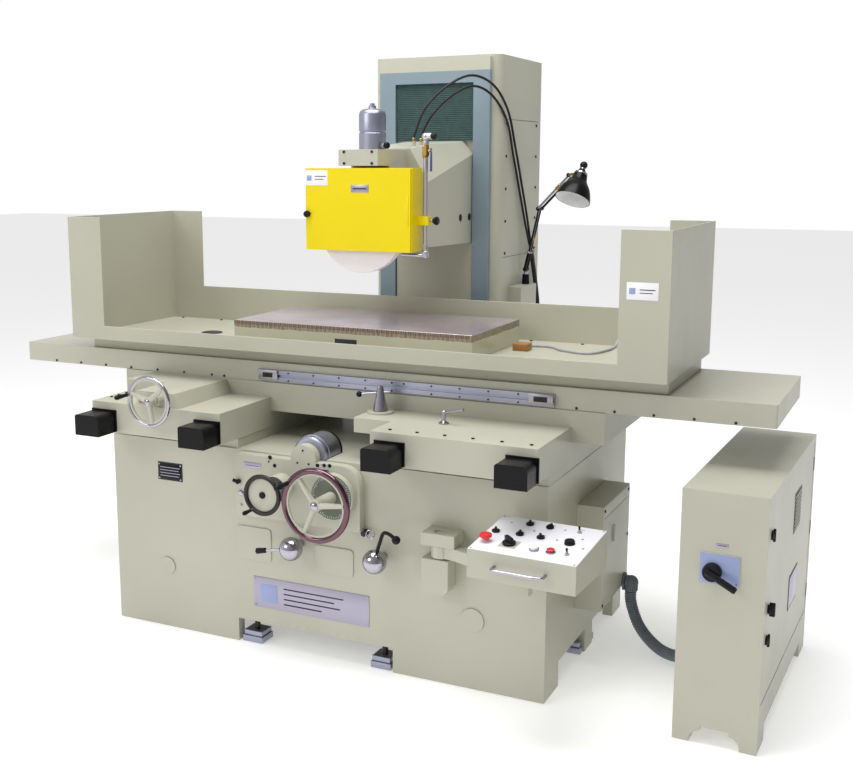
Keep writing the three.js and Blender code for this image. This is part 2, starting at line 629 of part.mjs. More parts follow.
function conduitGland() {
  const [y, z] = GLAND_AT;
  const elbow = [1012, y, z];
  return join(
    rodX(tankOuter + GAP, tankOuter + 10, y, z, 34, 6),
    rodX(tankOuter + GAP, elbow[0], y, z, 25),
    ball(...elbow, 27),
    strut(elbow, [1012, 104.1, 204 + 2 * GAP], 26));
}

const conduit = () => tube(CONDUIT_ROUTE, CONDUIT_RADIUS, 10, 14);

const HOSE_RADIUS = 5;
const FRONT_HOSE = [[60, 215, FITTING_TOP + GAP], [60, 215, FITTING_TOP + 18], [64, 224, 1915], [86, 258, 1998], [150, 340, 2092], [218, 418, 2134],
  [274, 500, 2106], [305, 600, 2012], [309, 700, 1850], [309, 790, 1690], [309, 860, 1562], [309, 922, 1430]];
const REAR_HOSE = [[60, 285, FITTING_TOP + GAP], [60, 285, FITTING_TOP + 18], [64, 292, 1912], [92, 318, 1978], [154, 382, 2058], [216, 446, 2094],
  [262, 520, 2066], [297, 612, 1970], [299, 706, 1812], [300, 800, 1642], [301, 862, 1530], [303, 920, 1430]];
const MAIN_HOSE = [[307, 920, 1436], [307, 945, 1378], [306, 1000, 1262], [305, 1040, 1160], [304, 1049, 1104]];

function lubeHoses() {
  return join(tube(FRONT_HOSE, HOSE_RADIUS, 6, 30), tube(REAR_HOSE, HOSE_RADIUS, 6, 30),
    tube(MAIN_HOSE, 10, 8, 9), rodX(columnHalf + 4 + GAP, 312, 1050, 1090, 12),
    rodZ(1084, 1108, 305, 1050, 11));
}

// ---- switch cabinet -----------------------------------------------------------------------
const doorLow = [CABINET_RIM, CABINET_DOOR_BOTTOM];
const doorHigh = [CABINET.depth - CABINET_RIM, CABINET.height - CABINET_RIM + 3];

function cabinetBody() {
  const { width, depth, height, sheet } = CABINET;
  const wall = CABINET_DOOR_THICK + 2;
  const foot = 58;
  const step = CABINET_PLINTH - 12;
  const low = [[foot - 6, -5], [foot - 6, 12], [foot, 26], [foot + 12, 37], [foot + 28, step], [foot + 28,
    CABINET_PLINTH]];
  const arch = outline([...low, ...low.map(([x, z]) => [width - x, z]).reverse()]);
  const gland = CABINET_GLAND;
  const shell = box(0, width, 0, depth, 0, height)
    .subtract(box(sheet, width - wall, sheet, depth - sheet, CABINET_PLINTH + 8, height - sheet))
    .subtract(box(width - wall - 5, width + 5, doorLow[0], doorHigh[0], doorLow[1], doorHigh[1]))
    .subtract(prismY(arch, -5, depth + 5))
    .subtract(box(-5, width + 5, 2 * foot, depth - 2 * foot, -5, CABINET_PLINTH));
  return join(shell,
    box(61, 183, -3, 1, 526, 624),
    rodX(-gland.length, 1, gland.y, gland.z, gland.radius));
}

function cabinetDoor() {
  const { width } = CABINET;
  return box(width - CABINET_DOOR_THICK - 1, width - 1, doorLow[0] + DOOR_GAP, doorHigh[0] - DOOR_GAP,
    doorLow[1] + DOOR_GAP, doorHigh[1] - DOOR_GAP);
}

function doorLatch() {
  const x = CABINET.width - 1 + GAP;
  const [y, z] = [doorLow[0] + 40, 450];
  return join(rodX(x, x + 14, y, z, 15), box(x + 10, x + 22, y - 6, y + 6, z - 22, z + 22));
}

const SWITCH_HUB = [102, 566];

function mainSwitchLever() {
  const [x, z] = SWITCH_HUB;
  const front = -3 - GAP;
  return join(
    rodY(front - 24, front, x, z, 29),
    strut([x, front - 32, z], [x, front - 20, z], 20),
    strut([x - 18, front - 30, z + 9], [x + 78, front - 34, z - 40], 11),
    strut([x, front - 32, z], [x, front - 42, z], 8));
}

// ---- operator's pendant -------------------------------------------------------------------
const BRACKET_TOP = 566;
const BRACKET_BOTTOM = 522;

function pendantBracket() {
  const [x, y] = PENDANT_PIVOT;
  const face = BED_FRONT - GAP;
  const casing = outline([[462, 364], [480, 344], [548, 344], [562, 366], [562, 470], [462, 470]]);
  return join(
    box(x - 62, x + 62, y - 36, face, BRACKET_BOTTOM, BRACKET_TOP),
    prismY(casing, face - 66, face),
    box(x - 46, x - 12, face - 13, face, 460, BRACKET_BOTTOM + 5))
    .subtract(rodZ(BRACKET_BOTTOM - 5, BRACKET_TOP + 5, x, y, bore(PIVOT_RADIUS)));
}

const armTop = PENDANT.z - GAP;

function pendantArm() {
  const [x, y] = PENDANT_PIVOT;
  const armLow = armTop - 58;
  const beam = outline([[x - 4, y - 22], [x + 40, y - 26], [935, -735], [925, -695], [x + 40, y + 22],
    [x - 4, y + 22]]);
  const seat = BRACKET_BOTTOM - GAP;
  return join(
    prismZ(beam, armLow, seat),
    rodZ(armLow, seat, x, y, 34),
    rodZ(armLow, BRACKET_TOP - 4, x, y, PIVOT_RADIUS),
    prismZ(outline([[770, -735], [935, -735], [925, -660], [770, -660]]), armLow, armTop),
    prismY(outline([[800, armLow + 5], [880, armLow + 5], [880, 432], [858, 426], [836, 440]]), -690, -650));
}

const panelSlope = Math.atan2(PENDANT.back - PENDANT.front, PENDANT.depth);
const panelLength = Math.hypot(PENDANT.back - PENDANT.front, PENDANT.depth);

// Places of the controls on the panel: parts of its width and of its length from the front edge.
const CONTROLS = {
  emergency_stop: [0.089, 0.253], selector_1: [0.088, 0.53], selector_2: [0.314, 0.845],
  selector_3: [0.508, 0.841], selector_4: [0.314, 0.545], selector_5: [0.512, 0.546],
  feed_toggle: [0.786, 0.837], main_rotary: [0.306, 0.266], start_button: [0.552, 0.225],
  stop_button: [0.701, 0.234], speed_dial: [0.789, 0.518], lamp_toggle: [0.846, 0.24] };

function panelSpot(name) {
  const [u, v] = CONTROLS[name];
  return [u * PENDANT.width, v * panelLength];
}

// Everything drawn flat on the panel's plane is carried to its slope by this.
function ontoPanel(shape) {
  const [c, s] = [Math.cos(panelSlope), Math.sin(panelSlope)];
  return shape.transform([1, 0, 0, 0, 0, c, s, 0, 0, -s, c, 0, 0, 0, PENDANT.front, 1]);
}

const STEMS = { emergency_stop: 8, start_button: 6, stop_button: 6 };
const TOGGLES = ['feed_toggle', 'lamp_toggle'];

function pendantBox() {
  const { width, depth, front, back } = PENDANT;
  const s = PENDANT_SHEET;
  let casing = prismX(outline([[0, 0], [depth, 0], [depth, back], [0, front]]), 0, width);
  const inner = outline([[s, s], [depth - s, s], [depth - s, back - s - 1], [s, front - s]]);
  casing = casing.subtract(prismX(inner, s, width - s)).subtract(rodZ(-5, s + 5, 60, depth - 60, 16));
  for (const [name, radius] of Object.entries(STEMS)) {
    casing = casing.subtract(ontoPanel(rodZ(-20, 10, ...panelSpot(name), radius + GAP)));
  }
  for (const name of TOGGLES) {
    casing = casing.add(ontoPanel(rodZ(-1.5, 5, ...panelSpot(name), 8, 6)));
  }
  const [x, y] = panelSpot('main_rotary');
  return casing.add(ontoPanel(box(x - 28, x + 28, y - 28, y + 28, -1.5, 1.5)));
}

function pendantHandle() {
  const [z, reach, left, right] = [48, 36, 92, 256];
  return join(
    rodY(-reach, -GAP, left, z, 5), rodY(-reach, -GAP, right, z, 5),
    rodX(left - 5, right + 5, -reach, z, 5.5));
}

function emergencyStop() {
  const [x, y] = panelSpot('emergency_stop');
  return ontoPanel(join(
    rodZ(-14, 12, x, y, STEMS.emergency_stop),
    strut([x, y, 9], [x, y, 18], 13, 20),
    strut([x, y, 18], [x, y, 26], 20, 13)));
}

function pushButton(name) {
  const [x, y] = panelSpot(name);
  return ontoPanel(join(rodZ(-14, 6, x, y, STEMS[name]), rodZ(4.5, 13, x, y, 12)));
}

function selector(name, radius, reach, base, turn) {
  const [x, y] = panelSpot(name);
  const [dx, dy] = [Math.sin(turn) * reach, Math.cos(turn) * reach];
  return ontoPanel(join(
    rodZ(base + GAP, base + 9, x, y, radius),
    hull([[x - dx - 4, y - dy, base + 7], [x - dx + 4, y - dy, base + 7], [x + dx - 3, y + dy, base + 7],
      [x + dx + 3, y + dy, base + 7], [x - dx - 3, y - dy, base + 22], [x - dx + 3, y - dy, base + 22],
      [x + dx, y + dy, base + 20]])));
}

function speedDial() {
  const [x, y] = panelSpot('speed_dial');
  return ontoPanel(join(rodZ(GAP, 3, x, y, 17), strut([x, y, 2], [x, y, 17], 15, 13)));
}

const TOGGLE_BALL = 4;

function toggle(name) {
  const [x, y] = panelSpot(name);
  const pivot = 5 + GAP + TOGGLE_BALL;
  return ontoPanel(join(ball(x, y, pivot, TOGGLE_BALL),
    strut([x, y, pivot], [x, y + 5, pivot + 22], 2.6, 3.6)));
}

// ---- machine lamp -------------------------------------------------------------------------
const lampAngle = THREE.MathUtils.degToRad(LAMP_BEARING);
const lampReach = [Math.cos(lampAngle), Math.sin(lampAngle)];
const lampSide = [-lampReach[1], lampReach[0]];

// A point by its distance out along the arms, its height, and its offset across them.
function lampPoint(out, height, across = 0) {
  return [LAMP_BASE[0] + lampReach[0] * out + lampSide[0] * across,
    LAMP_BASE[1] + lampReach[1] * out + lampSide[1] * across, height];
}

const lampBaseTop = JUNCTION_BOX[4] + GAP;
const SHOULDER = [0, lampBaseTop + 66];
const ELBOW = [64, 1594];
const WRIST = [212, 1738];
const BARREL = 9;

function lampPost() {
  const top = SHOULDER[1] - BARREL - GAP;
  return join(rodZ(lampBaseTop, top - 12, ...LAMP_BASE, 17), rodZ(lampBaseTop, top, ...LAMP_BASE, 10));
}

const across = (place, from, to, radius) =>
  strut(lampPoint(...place, from), lampPoint(...place, to), radius);

function lampLowerArm() {
  const rod = (side) => strut(lampPoint(...SHOULDER, side), lampPoint(...ELBOW, side), 3.5);
  return join(across(SHOULDER, -14, 14, BARREL), across(ELBOW, -14, 14, BARREL), rod(-9), rod(9));
}

function lampUpperArm() {
  const rod = (side) => strut(lampPoint(...ELBOW, side), lampPoint(...WRIST, side), 3.5);
  return join(across(ELBOW, -22, -14 - GAP, BARREL), across(ELBOW, 14 + GAP, 22, BARREL),
    across(WRIST, -22, 22, BARREL), rod(-18), rod(18));
}

const SHADE_AXIS = new THREE.Vector3(-0.143, -0.46, -0.877).normalize();
const SHADE_TOP = new THREE.Vector3(...lampPoint(298, 1752, -75));

function lampShade() {
  const wall = 2.5;
  const outer = [[0, -10], [14, -10], [16, 0], [26, 6], [34, 40], [52, 66], [66, 96], [74, 128]];
  const inner = outer.slice(3).reverse().map(([r, h]) => [r - wall, h]);
  const profile = [...outer, ...inner, [0, 9]].map(([r, h]) => new THREE.Vector2(r, h));
  const bell = new THREE.LatheGeometry(profile, 16);
  bell.applyQuaternion(new THREE.Quaternion().setFromUnitVectors(new THREE.Vector3(0, 1, 0), SHADE_AXIS));
  bell.translate(SHADE_TOP.x, SHADE_TOP.y, SHADE_TOP.z);
  const neck = SHADE_TOP.clone().addScaledVector(SHADE_AXIS, 1).toArray();
  return join(solid(bell), across(WRIST, -32, -22 - GAP, BARREL), strut(lampPoint(...WRIST, -28), neck, 5));
}

// ---- assembly -----------------------------------------------------------------------------
const machine = new THREE.Group();
machine.add(
  piece('bed', bed(), CREAM),
  piece('column', column(), CREAM),
  piece('column_front_frame', columnFrontFrame(), BAND),
  piece('upper_way_cover', upperWayCover(), GREEN),
  piece('lower_way_cover', lowerWayCover(), CREAM),
  piece('elevating_screw', elevatingScrew(), STEEL),
  piece('feed_box', feedBox(), CREAM),
  piece('feed_motor', feedMotor(), SILVER),
  piece('vertical_handwheel', verticalHandwheel(), PLUM),
  piece('cross_handwheel', crossHandwheel(), PLUM),
  piece('feed_lever', feedLever(), CHROME),
  piece('speed_lever', speedLever(), CHROME),
  piece('saddle', saddle(), CREAM),
  piece('table_handwheel', tableHandwheel(), CHROME),
  piece('reversing_lever', reversingLever(), CHROME),
  piece('clamp_lever', clampLever(), CHROME),
  piece('table', table(), CREAM),
  piece('trip_rail', tripRail(), SILVER),
  piece('chuck', chuck(), GROUND),
  piece('splash_guard', splashGuard(), CREAM),
  piece('wheelhead', wheelhead(), CREAM),
  piece('spindle', spindle(), STEEL),
  piece('grinding_wheel', grindingWheel(), ABRASIVE),
  piece('wheel_guard', wheelGuard(), YELLOW),
  piece('guard_door', guardDoor(), YELLOW),
  piece('coolant_pipe', coolantPipe(), STEEL),
  piece('coolant_valve_lever', valveLever(), SLATE),
  piece('oil_mist_unit', oilMistUnit(), SILVER),
  piece('side_tank', sideTank(), CREAM),
  piece('conduit_gland', conduitGland(), SLATE),
  piece('conduit', conduit(), SLATE),
  piece('lube_hoses', lubeHoses(), BLACK),
  piece('pendant_bracket', pendantBracket(), CREAM),
  piece('pendant_arm', pendantArm(), CREAM),
  piece('lamp_post', lampPost(), BLACK),
  piece('lamp_lower_arm', lampLowerArm(), CHROME),
  piece('lamp_upper_arm', lampUpperArm(), CHROME),
  piece('lamp_shade', lampShade(), BLACK));
WAY_CENTRES.forEach((centre, k) => machine.add(piece(`way_cover_${k + 1}`, wayCover(centre), BLACK)));

const pendant = new THREE.Group();
pendant.position.set(PENDANT.x, PENDANT.y, PENDANT.z);
pendant.rotation.z = THREE.MathUtils.degToRad(PENDANT.yaw);
pendant.add(
  piece('pendant_box', pendantBox(), WHITE),
  piece('pendant_handle', pendantHandle(), CHROME),
  piece('emergency_stop', emergencyStop(), RED),
  piece('start_button', pushButton('start_button'), WHITE),
  piece('stop_button', pushButton('stop_button'), WHITE),
  piece('main_rotary', selector('main_rotary', 21, 26, 1.5, 0.9), BLACK),
  piece('speed_dial', speedDial(), BLACK),
  piece('feed_toggle', toggle('feed_toggle'), BLACK),
  piece('lamp_toggle', toggle('lamp_toggle'), BLACK));
for (const k of [1, 2, 3, 4, 5]) {
  pendant.add(piece(`selector_${k}`, selector(`selector_${k}`, 13, 14, 0, 0), BLACK));
}
machine.add(pendant);

const cabinet = new THREE.Group();
cabinet.position.set(CABINET.x, CABINET.y, 0);
cabinet.rotation.z = THREE.MathUtils.degToRad(CABINET.yaw);
cabinet.add(
  piece('cabinet_body', cabinetBody(), CREAM),
  piece('cabinet_door', cabinetDoor(), CREAM),
  piece('door_latch', doorLatch(), BLACK),
  piece('main_switch_lever', mainSwitchLever(), BLACK));
machine.add(cabinet);

// The origin goes to the middle of the outline on the floor, measured without the free conduit.
const free = machine.getObjectByName('conduit');
machine.remove(free);
const extent = new THREE.Box3().setFromObject(machine, true);
machine.add(free);
const middle = extent.getCenter(new THREE.Vector3());
machine.position.set(-middle.x, -middle.y, 0);

export default machine;
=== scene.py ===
"""Surface grinder with its control pendant, lamp and switch cabinet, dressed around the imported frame."""
import math

import bmesh
import bpy
from mathutils import Matrix, Vector
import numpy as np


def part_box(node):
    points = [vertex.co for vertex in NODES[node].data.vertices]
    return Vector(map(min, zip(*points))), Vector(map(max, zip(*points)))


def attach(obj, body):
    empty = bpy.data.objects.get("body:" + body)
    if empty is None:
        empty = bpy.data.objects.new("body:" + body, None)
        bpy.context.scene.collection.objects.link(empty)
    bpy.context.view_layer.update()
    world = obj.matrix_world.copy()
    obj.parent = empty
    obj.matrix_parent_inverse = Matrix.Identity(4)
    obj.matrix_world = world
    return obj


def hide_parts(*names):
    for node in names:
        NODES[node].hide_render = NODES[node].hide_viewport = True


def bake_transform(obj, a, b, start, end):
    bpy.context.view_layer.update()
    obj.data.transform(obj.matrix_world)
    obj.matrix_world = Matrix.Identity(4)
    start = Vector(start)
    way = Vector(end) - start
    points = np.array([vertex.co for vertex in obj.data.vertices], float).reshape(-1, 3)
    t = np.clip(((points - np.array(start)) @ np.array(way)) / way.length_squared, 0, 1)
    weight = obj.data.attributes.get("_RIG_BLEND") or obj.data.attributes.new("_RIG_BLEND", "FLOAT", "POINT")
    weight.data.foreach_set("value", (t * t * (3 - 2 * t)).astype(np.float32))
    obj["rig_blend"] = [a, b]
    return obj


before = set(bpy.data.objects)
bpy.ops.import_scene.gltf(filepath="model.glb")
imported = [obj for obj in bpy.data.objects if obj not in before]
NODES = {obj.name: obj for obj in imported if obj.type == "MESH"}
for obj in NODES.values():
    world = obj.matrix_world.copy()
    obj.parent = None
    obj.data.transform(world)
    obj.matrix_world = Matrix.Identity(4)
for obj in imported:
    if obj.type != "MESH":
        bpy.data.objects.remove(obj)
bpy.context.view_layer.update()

# ---- the maker's axes: millimetres, X = 0 on the column's centre line, Y = 0 on the table's centre line ----
MM = 0.001
SHIFT = Vector((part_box("bed")[0][0] + 0.886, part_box("table")[0][1] + 0.287, 0.0))
TO_ROW = Matrix.Translation(SHIFT) @ Matrix.Scale(MM, 4)


def at(x, y, z):
    """A point of the maker's axes, in metres in the row frame."""
    return TO_ROW @ Vector((x, y, z))


FRONT, BACK, LEFT, RIGHT, UP = (0, -1, 0), (0, 1, 0), (-1, 0, 0), (1, 0, 0), (0, 0, 1)
SHARP = math.radians(38)


def put_in_scene(name, data):
    obj = bpy.data.objects.new(name, data)
    bpy.context.scene.collection.objects.link(obj)
    return obj


class Graph:
    """Adds nodes to a tree and joins them up."""

    def __init__(self, tree):
        self.tree = tree

    def node(self, kind, links=None, **values):
        made = self.tree.nodes.new(kind)
        for key, value in values.items():
            setattr(made, key, value)
        for socket, source in (links or {}).items():
            if isinstance(source, bpy.types.NodeSocket):
                self.tree.links.new(source, made.inputs[socket])
            else:
                made.inputs[socket].default_value = source
        return made

    def maths(self, operation, a, b=0.0):
        return self.node("ShaderNodeMath", {0: a, 1: b}, operation=operation).outputs[0]


# ---- camera and light -------------------------------------------------------------------------------
def set_camera():
    data = bpy.data.cameras.new("camera")
    data.sensor_width = 36
    data.lens = 48.885
    data.shift_x = 0.0504
    data.shift_y = -0.0264
    data.clip_end = 60
    camera = put_in_scene("camera", data)
    yaw, pitch, roll = (math.radians(a) for a in (26.26, 10.0, 0.1))
    ahead = Vector((-math.sin(yaw) * math.cos(pitch), math.cos(yaw) * math.cos(pitch), -math.sin(pitch)))
    right = Vector((math.cos(yaw), math.sin(yaw), 0))
    up = right.cross(ahead)
    turn = Matrix((right, up, -ahead)).transposed().to_4x4() @ Matrix.Rotation(-roll, 4, "Z")
    camera.matrix_world = Matrix.Translation(at(2012, -4017, 1780)) @ turn
    bpy.context.scene.camera = camera


def area_light(name, place, target, size, power):
    data = bpy.data.lights.new(name, "AREA")
    data.shape = "RECTANGLE"
    data.size, data.size_y = size
    data.energy = power
    lamp = put_in_scene(name, data)
    lamp.location = place
    lamp.rotation_euler = (Vector(target) - Vector(place)).to_track_quat("-Z", "Y").to_euler()


def set_stage():
    """Pale floor, and a studio that is brighter on the operator's left and white where it is seen itself."""
    bm = bmesh.new()
    bmesh.ops.create_grid(bm, x_segments=1, y_segments=1, size=30)
    mesh = bpy.data.meshes.new("studio_floor")
    bm.to_mesh(mesh)
    bm.free()
    floor = put_in_scene("studio_floor", mesh)
    floor.location.z = -0.002
    mat = bpy.data.materials.new("studio_floor")
    mat.use_nodes = True
    bsdf = mat.node_tree.nodes["Principled BSDF"]
    bsdf.inputs["Base Color"].default_value = (0.86, 0.86, 0.86, 1)
    bsdf.inputs["Roughness"].default_value = 0.9
    bsdf.inputs["Emission Color"].default_value = (1, 1, 1, 1)
    bsdf.inputs["Emission Strength"].default_value = 0.36
    mesh.materials.append(mat)
    world = bpy.data.worlds.new("studio")
    world.use_nodes = True
    sky = world.node_tree.nodes["Background"]
    sky.inputs["Color"].default_value = (1, 1, 1, 1)
    g = Graph(world.node_tree)
    heading = g.node("ShaderNodeSeparateXYZ", {0: g.node("ShaderNodeTexCoord").outputs["Generated"]})
    side = g.node("ShaderNodeMapRange", {"Value": heading.outputs["X"], "From Min": -1.0, "From Max": 1.0,
                                         "To Min": 0.85, "To Max": 0.2})
    rays = g.node("ShaderNodeLightPath").outputs["Is Camera Ray"]
    level = g.node("ShaderNodeMix", {0: rays, 2: side.outputs[0], 3: 1.0})
    g.tree.links.new(level.outputs[0], sky.inputs["Strength"])
    bpy.context.scene.world = world
    bpy.context.scene.view_settings.view_transform = "Standard"
    area_light("key_light", (-3.2, -6.0, 4.3), (0, 0, 0.9), (3.2, 2.4), 95)
    area_light("top_light", (0.2, -0.8, 5.4), (0, 0, 0.8), (4.0, 3.0), 230)


# ---- materials --------------------------------------------------------------------------------------
def linear(*tone):
    """A colour of 0 to 255 a channel, as the renderer counts it."""
    return tuple(c / 12.92 if c <= 0.04045 else ((c + 0.055) / 1.055) ** 2.4
                 for c in (v / 255 for v in tone)) + (1.0,)


BAND_TOP, CHUCK_FACE, CHUCK_RIM = 2.165, 1.1865, 1.168


class Finish(Graph):
    """A node material that is put together step by step, reading Object coordinates."""

    def __init__(self, name, rough=0.5, metal=0.0, coat=0.0, spec=None):
        self.mat = bpy.data.materials.new(name)
        self.mat.use_nodes = True
        super().__init__(self.mat.node_tree)
        self.bsdf = self.tree.nodes["Principled BSDF"]
        self.set("Roughness", rough)
        self.set("Metallic", metal)
        if coat:
            self.set("Coat Weight", coat)
            self.set("Coat Roughness", 0.08)
        if spec is not None:
            self.set("Specular IOR Level", spec)
        self.coords = self.node("ShaderNodeTexCoord").outputs["Object"]

    def set(self, socket, value):
        self.bsdf.inputs[socket].default_value = value

    def noise(self, scale, detail=3.0, rough=0.5, stretch=(1, 1, 1)):
        moved = self.node("ShaderNodeMapping", {"Vector": self.coords, "Scale": stretch}).outputs[0]
        return self.node("ShaderNodeTexNoise", {"Vector": moved, "Scale": scale, "Detail": detail,
                                                "Roughness": rough}).outputs["Fac"]

    def ramp(self, fac, stops):
        made = self.node("ShaderNodeValToRGB", {"Fac": fac})
        ramp = made.color_ramp
        while len(ramp.elements) < len(stops):
            ramp.elements.new(0.5)
        for element, (place, colour) in zip(ramp.elements, stops):
            element.position = place
            element.color = colour if len(colour) == 4 else tuple(colour) + (1,)
        return made.outputs["Color"]

    def mix(self, fac, a, b):
        return self.node("ShaderNodeMix", {0: fac, 6: a, 7: b}, data_type="RGBA").outputs[2]

    def along(self, letter):
        return self.node("ShaderNodeSeparateXYZ", {0: self.coords}).outputs[letter]

    def colour(self, source):
        self.tree.links.new(source, self.bsdf.inputs["Base Color"])

    def roughness(self, fac, low, high):
        spread = self.node("ShaderNodeMapRange", {"Value": fac, "To Min": low, "To Max": high})
        self.tree.links.new(spread.outputs[0], self.bsdf.inputs["Roughness"])

    def bump(self, height, strength, distance):
        made = self.node("ShaderNodeBump", {"Height": height, "Strength": strength, "Distance": distance})
        self.tree.links.new(made.outputs[0], self.bsdf.inputs["Normal"])
        return self


def enamel(name, tone, spread=0.05, rough=0.4, coat=0.12, spec=None):
    """Brushed-on machine enamel: faint mottling, orange peel, dust that dulls it in patches."""
    made = Finish(name, rough, 0.0, coat, spec)
    base = Vector(tone[:3])
    dark, light = tuple(base * (1 - spread)), tuple(base * (1 + spread))
    blot = made.noise(2.3, 4)
    made.colour(made.ramp(blot, [(0.32, dark), (0.68, light)]))
    made.roughness(made.noise(9, 3), rough - 0.07, rough + 0.1)
    return made.bump(made.noise(260, 2), 0.12, 0.0006)


def plain_metal(name, tone, rough, brushed=(1, 1, 1), grain=0.25):
    made = Finish(name, rough, 1.0)
    streak = made.noise(420, 2, 0.6, brushed)
    base = Vector(tone[:3])
    made.colour(made.ramp(streak, [(0.25, tuple(base * 0.82)), (0.75, tuple(base * 1.06))]))
    made.roughness(made.noise(30, 3), max(0.02, rough - 0.06), rough + 0.08)
    return made.bump(streak, grain, 0.0003)


def moulding(name, tone, rough=0.38, grain=0.15, spec=0.35):
    made = Finish(name, rough, 0.0, 0.0, spec)
    base = Vector(tone[:3])
    made.colour(made.ramp(made.noise(40, 3), [(0.3, tuple(base * 0.9)), (0.7, tuple(base * 1.1))]))
    made.roughness(made.noise(70, 2), rough - 0.06, rough + 0.08)
    return made.bump(made.noise(900, 2), grain, 0.0002)


def column_frame_enamel():
    """Blue-grey band round the window, the machine's own cream above it."""
    made = Finish("band_enamel", 0.36, 0.0, 0.2)
    above = made.maths("GREATER_THAN", made.along("Z"), BAND_TOP)
    blot = made.noise(2.3, 4)
    band = made.ramp(blot, [(0.3, linear(120, 137, 148)), (0.7, linear(130, 147, 158))])
    cream = made.ramp(blot, [(0.32, linear(177, 176, 160)), (0.68, linear(187, 186, 170))])
    made.colour(made.mix(above, band, cream))
    made.roughness(made.noise(9, 3), 0.3, 0.46)
    return made.bump(made.noise(260, 2), 0.12, 0.0006)


def way_cloth():
    """Coated cloth of the folding way cover: fine weave over its folds."""
    made = Finish("way_cloth", 0.72)
    threads = [made.node("ShaderNodeTexWave", {"Vector": made.coords, "Scale": 320.0},
                         bands_direction=way).outputs["Fac"] for way in "XZ"]
    weave = made.maths("MULTIPLY", *threads)
    tone = made.ramp(made.noise(34, 4), [(0.3, linear(40, 66, 66)), (0.7, linear(52, 80, 78))])
    made.colour(made.mix(made.maths("MULTIPLY", weave, 0.35), tone, linear(70, 98, 94)))
    return made.bump(weave, 0.4, 0.0005)


def chuck_top():
    """Ground face of the magnetic chuck, its laminated rim, and the enamel below it."""
    made = Finish("chuck_face", 0.24, 0.55)
    z = made.along("Z")
    top = made.maths("GREATER_THAN", z, CHUCK_FACE)
    wobble = made.maths("MULTIPLY", made.noise(22, 3), 0.012)
    rim = made.maths("GREATER_THAN", made.maths("ADD", z, wobble), CHUCK_RIM)
    lines = made.noise(6, 4, 0.65, (1, 90, 1))
    blots = made.noise(4.5, 5, 0.6)
    ground = made.mix(made.maths("MULTIPLY", lines, 0.5), made.ramp(blots, [
        (0.3, linear(178, 164, 170)), (0.7, linear(222, 208, 216))]), linear(140, 122, 124))
    slices = made.node("ShaderNodeTexWave", {"Vector": made.coords, "Scale": 17.0, "Distortion": 0.4,
                                             "Detail": 1.0}, bands_direction="X").outputs["Fac"]
    laminate = made.mix(made.noise(60, 4), made.ramp(slices, [
        (0.2, linear(92, 68, 52)), (0.8, linear(150, 124, 100))]), linear(168, 160, 140))
    paint = made.ramp(made.noise(2.3, 4), [(0.32, linear(184, 182, 161)), (0.68, linear(194, 192, 171))])
    made.colour(made.mix(top, made.mix(rim, paint, laminate), ground))
    metal = made.maths("MULTIPLY", top, 0.6)
    made.tree.links.new(metal, made.bsdf.inputs["Metallic"])
    return made.bump(lines, 0.15, 0.0003)


def abrasive():
    made = Finish("abrasive_grain", 0.85)
    grain = made.noise(520, 3, 0.7)
    wear = made.noise(9, 3)
    made.colour(made.mix(made.maths("MULTIPLY", wear, 0.35), made.ramp(grain, [
        (0.3, linear(236, 228, 230)), (0.7, linear(254, 250, 252))]), linear(206, 186, 190)))
    return made.bump(grain, 0.6, 0.0006)


def reflector_white(name, tone, rough):
    made = Finish(name, rough)
    made.colour(made.ramp(made.noise(20, 2), [(0.3, tuple(Vector(tone[:3]) * 0.96)), (0.7, tone[:3])]))
    return made


F = {}


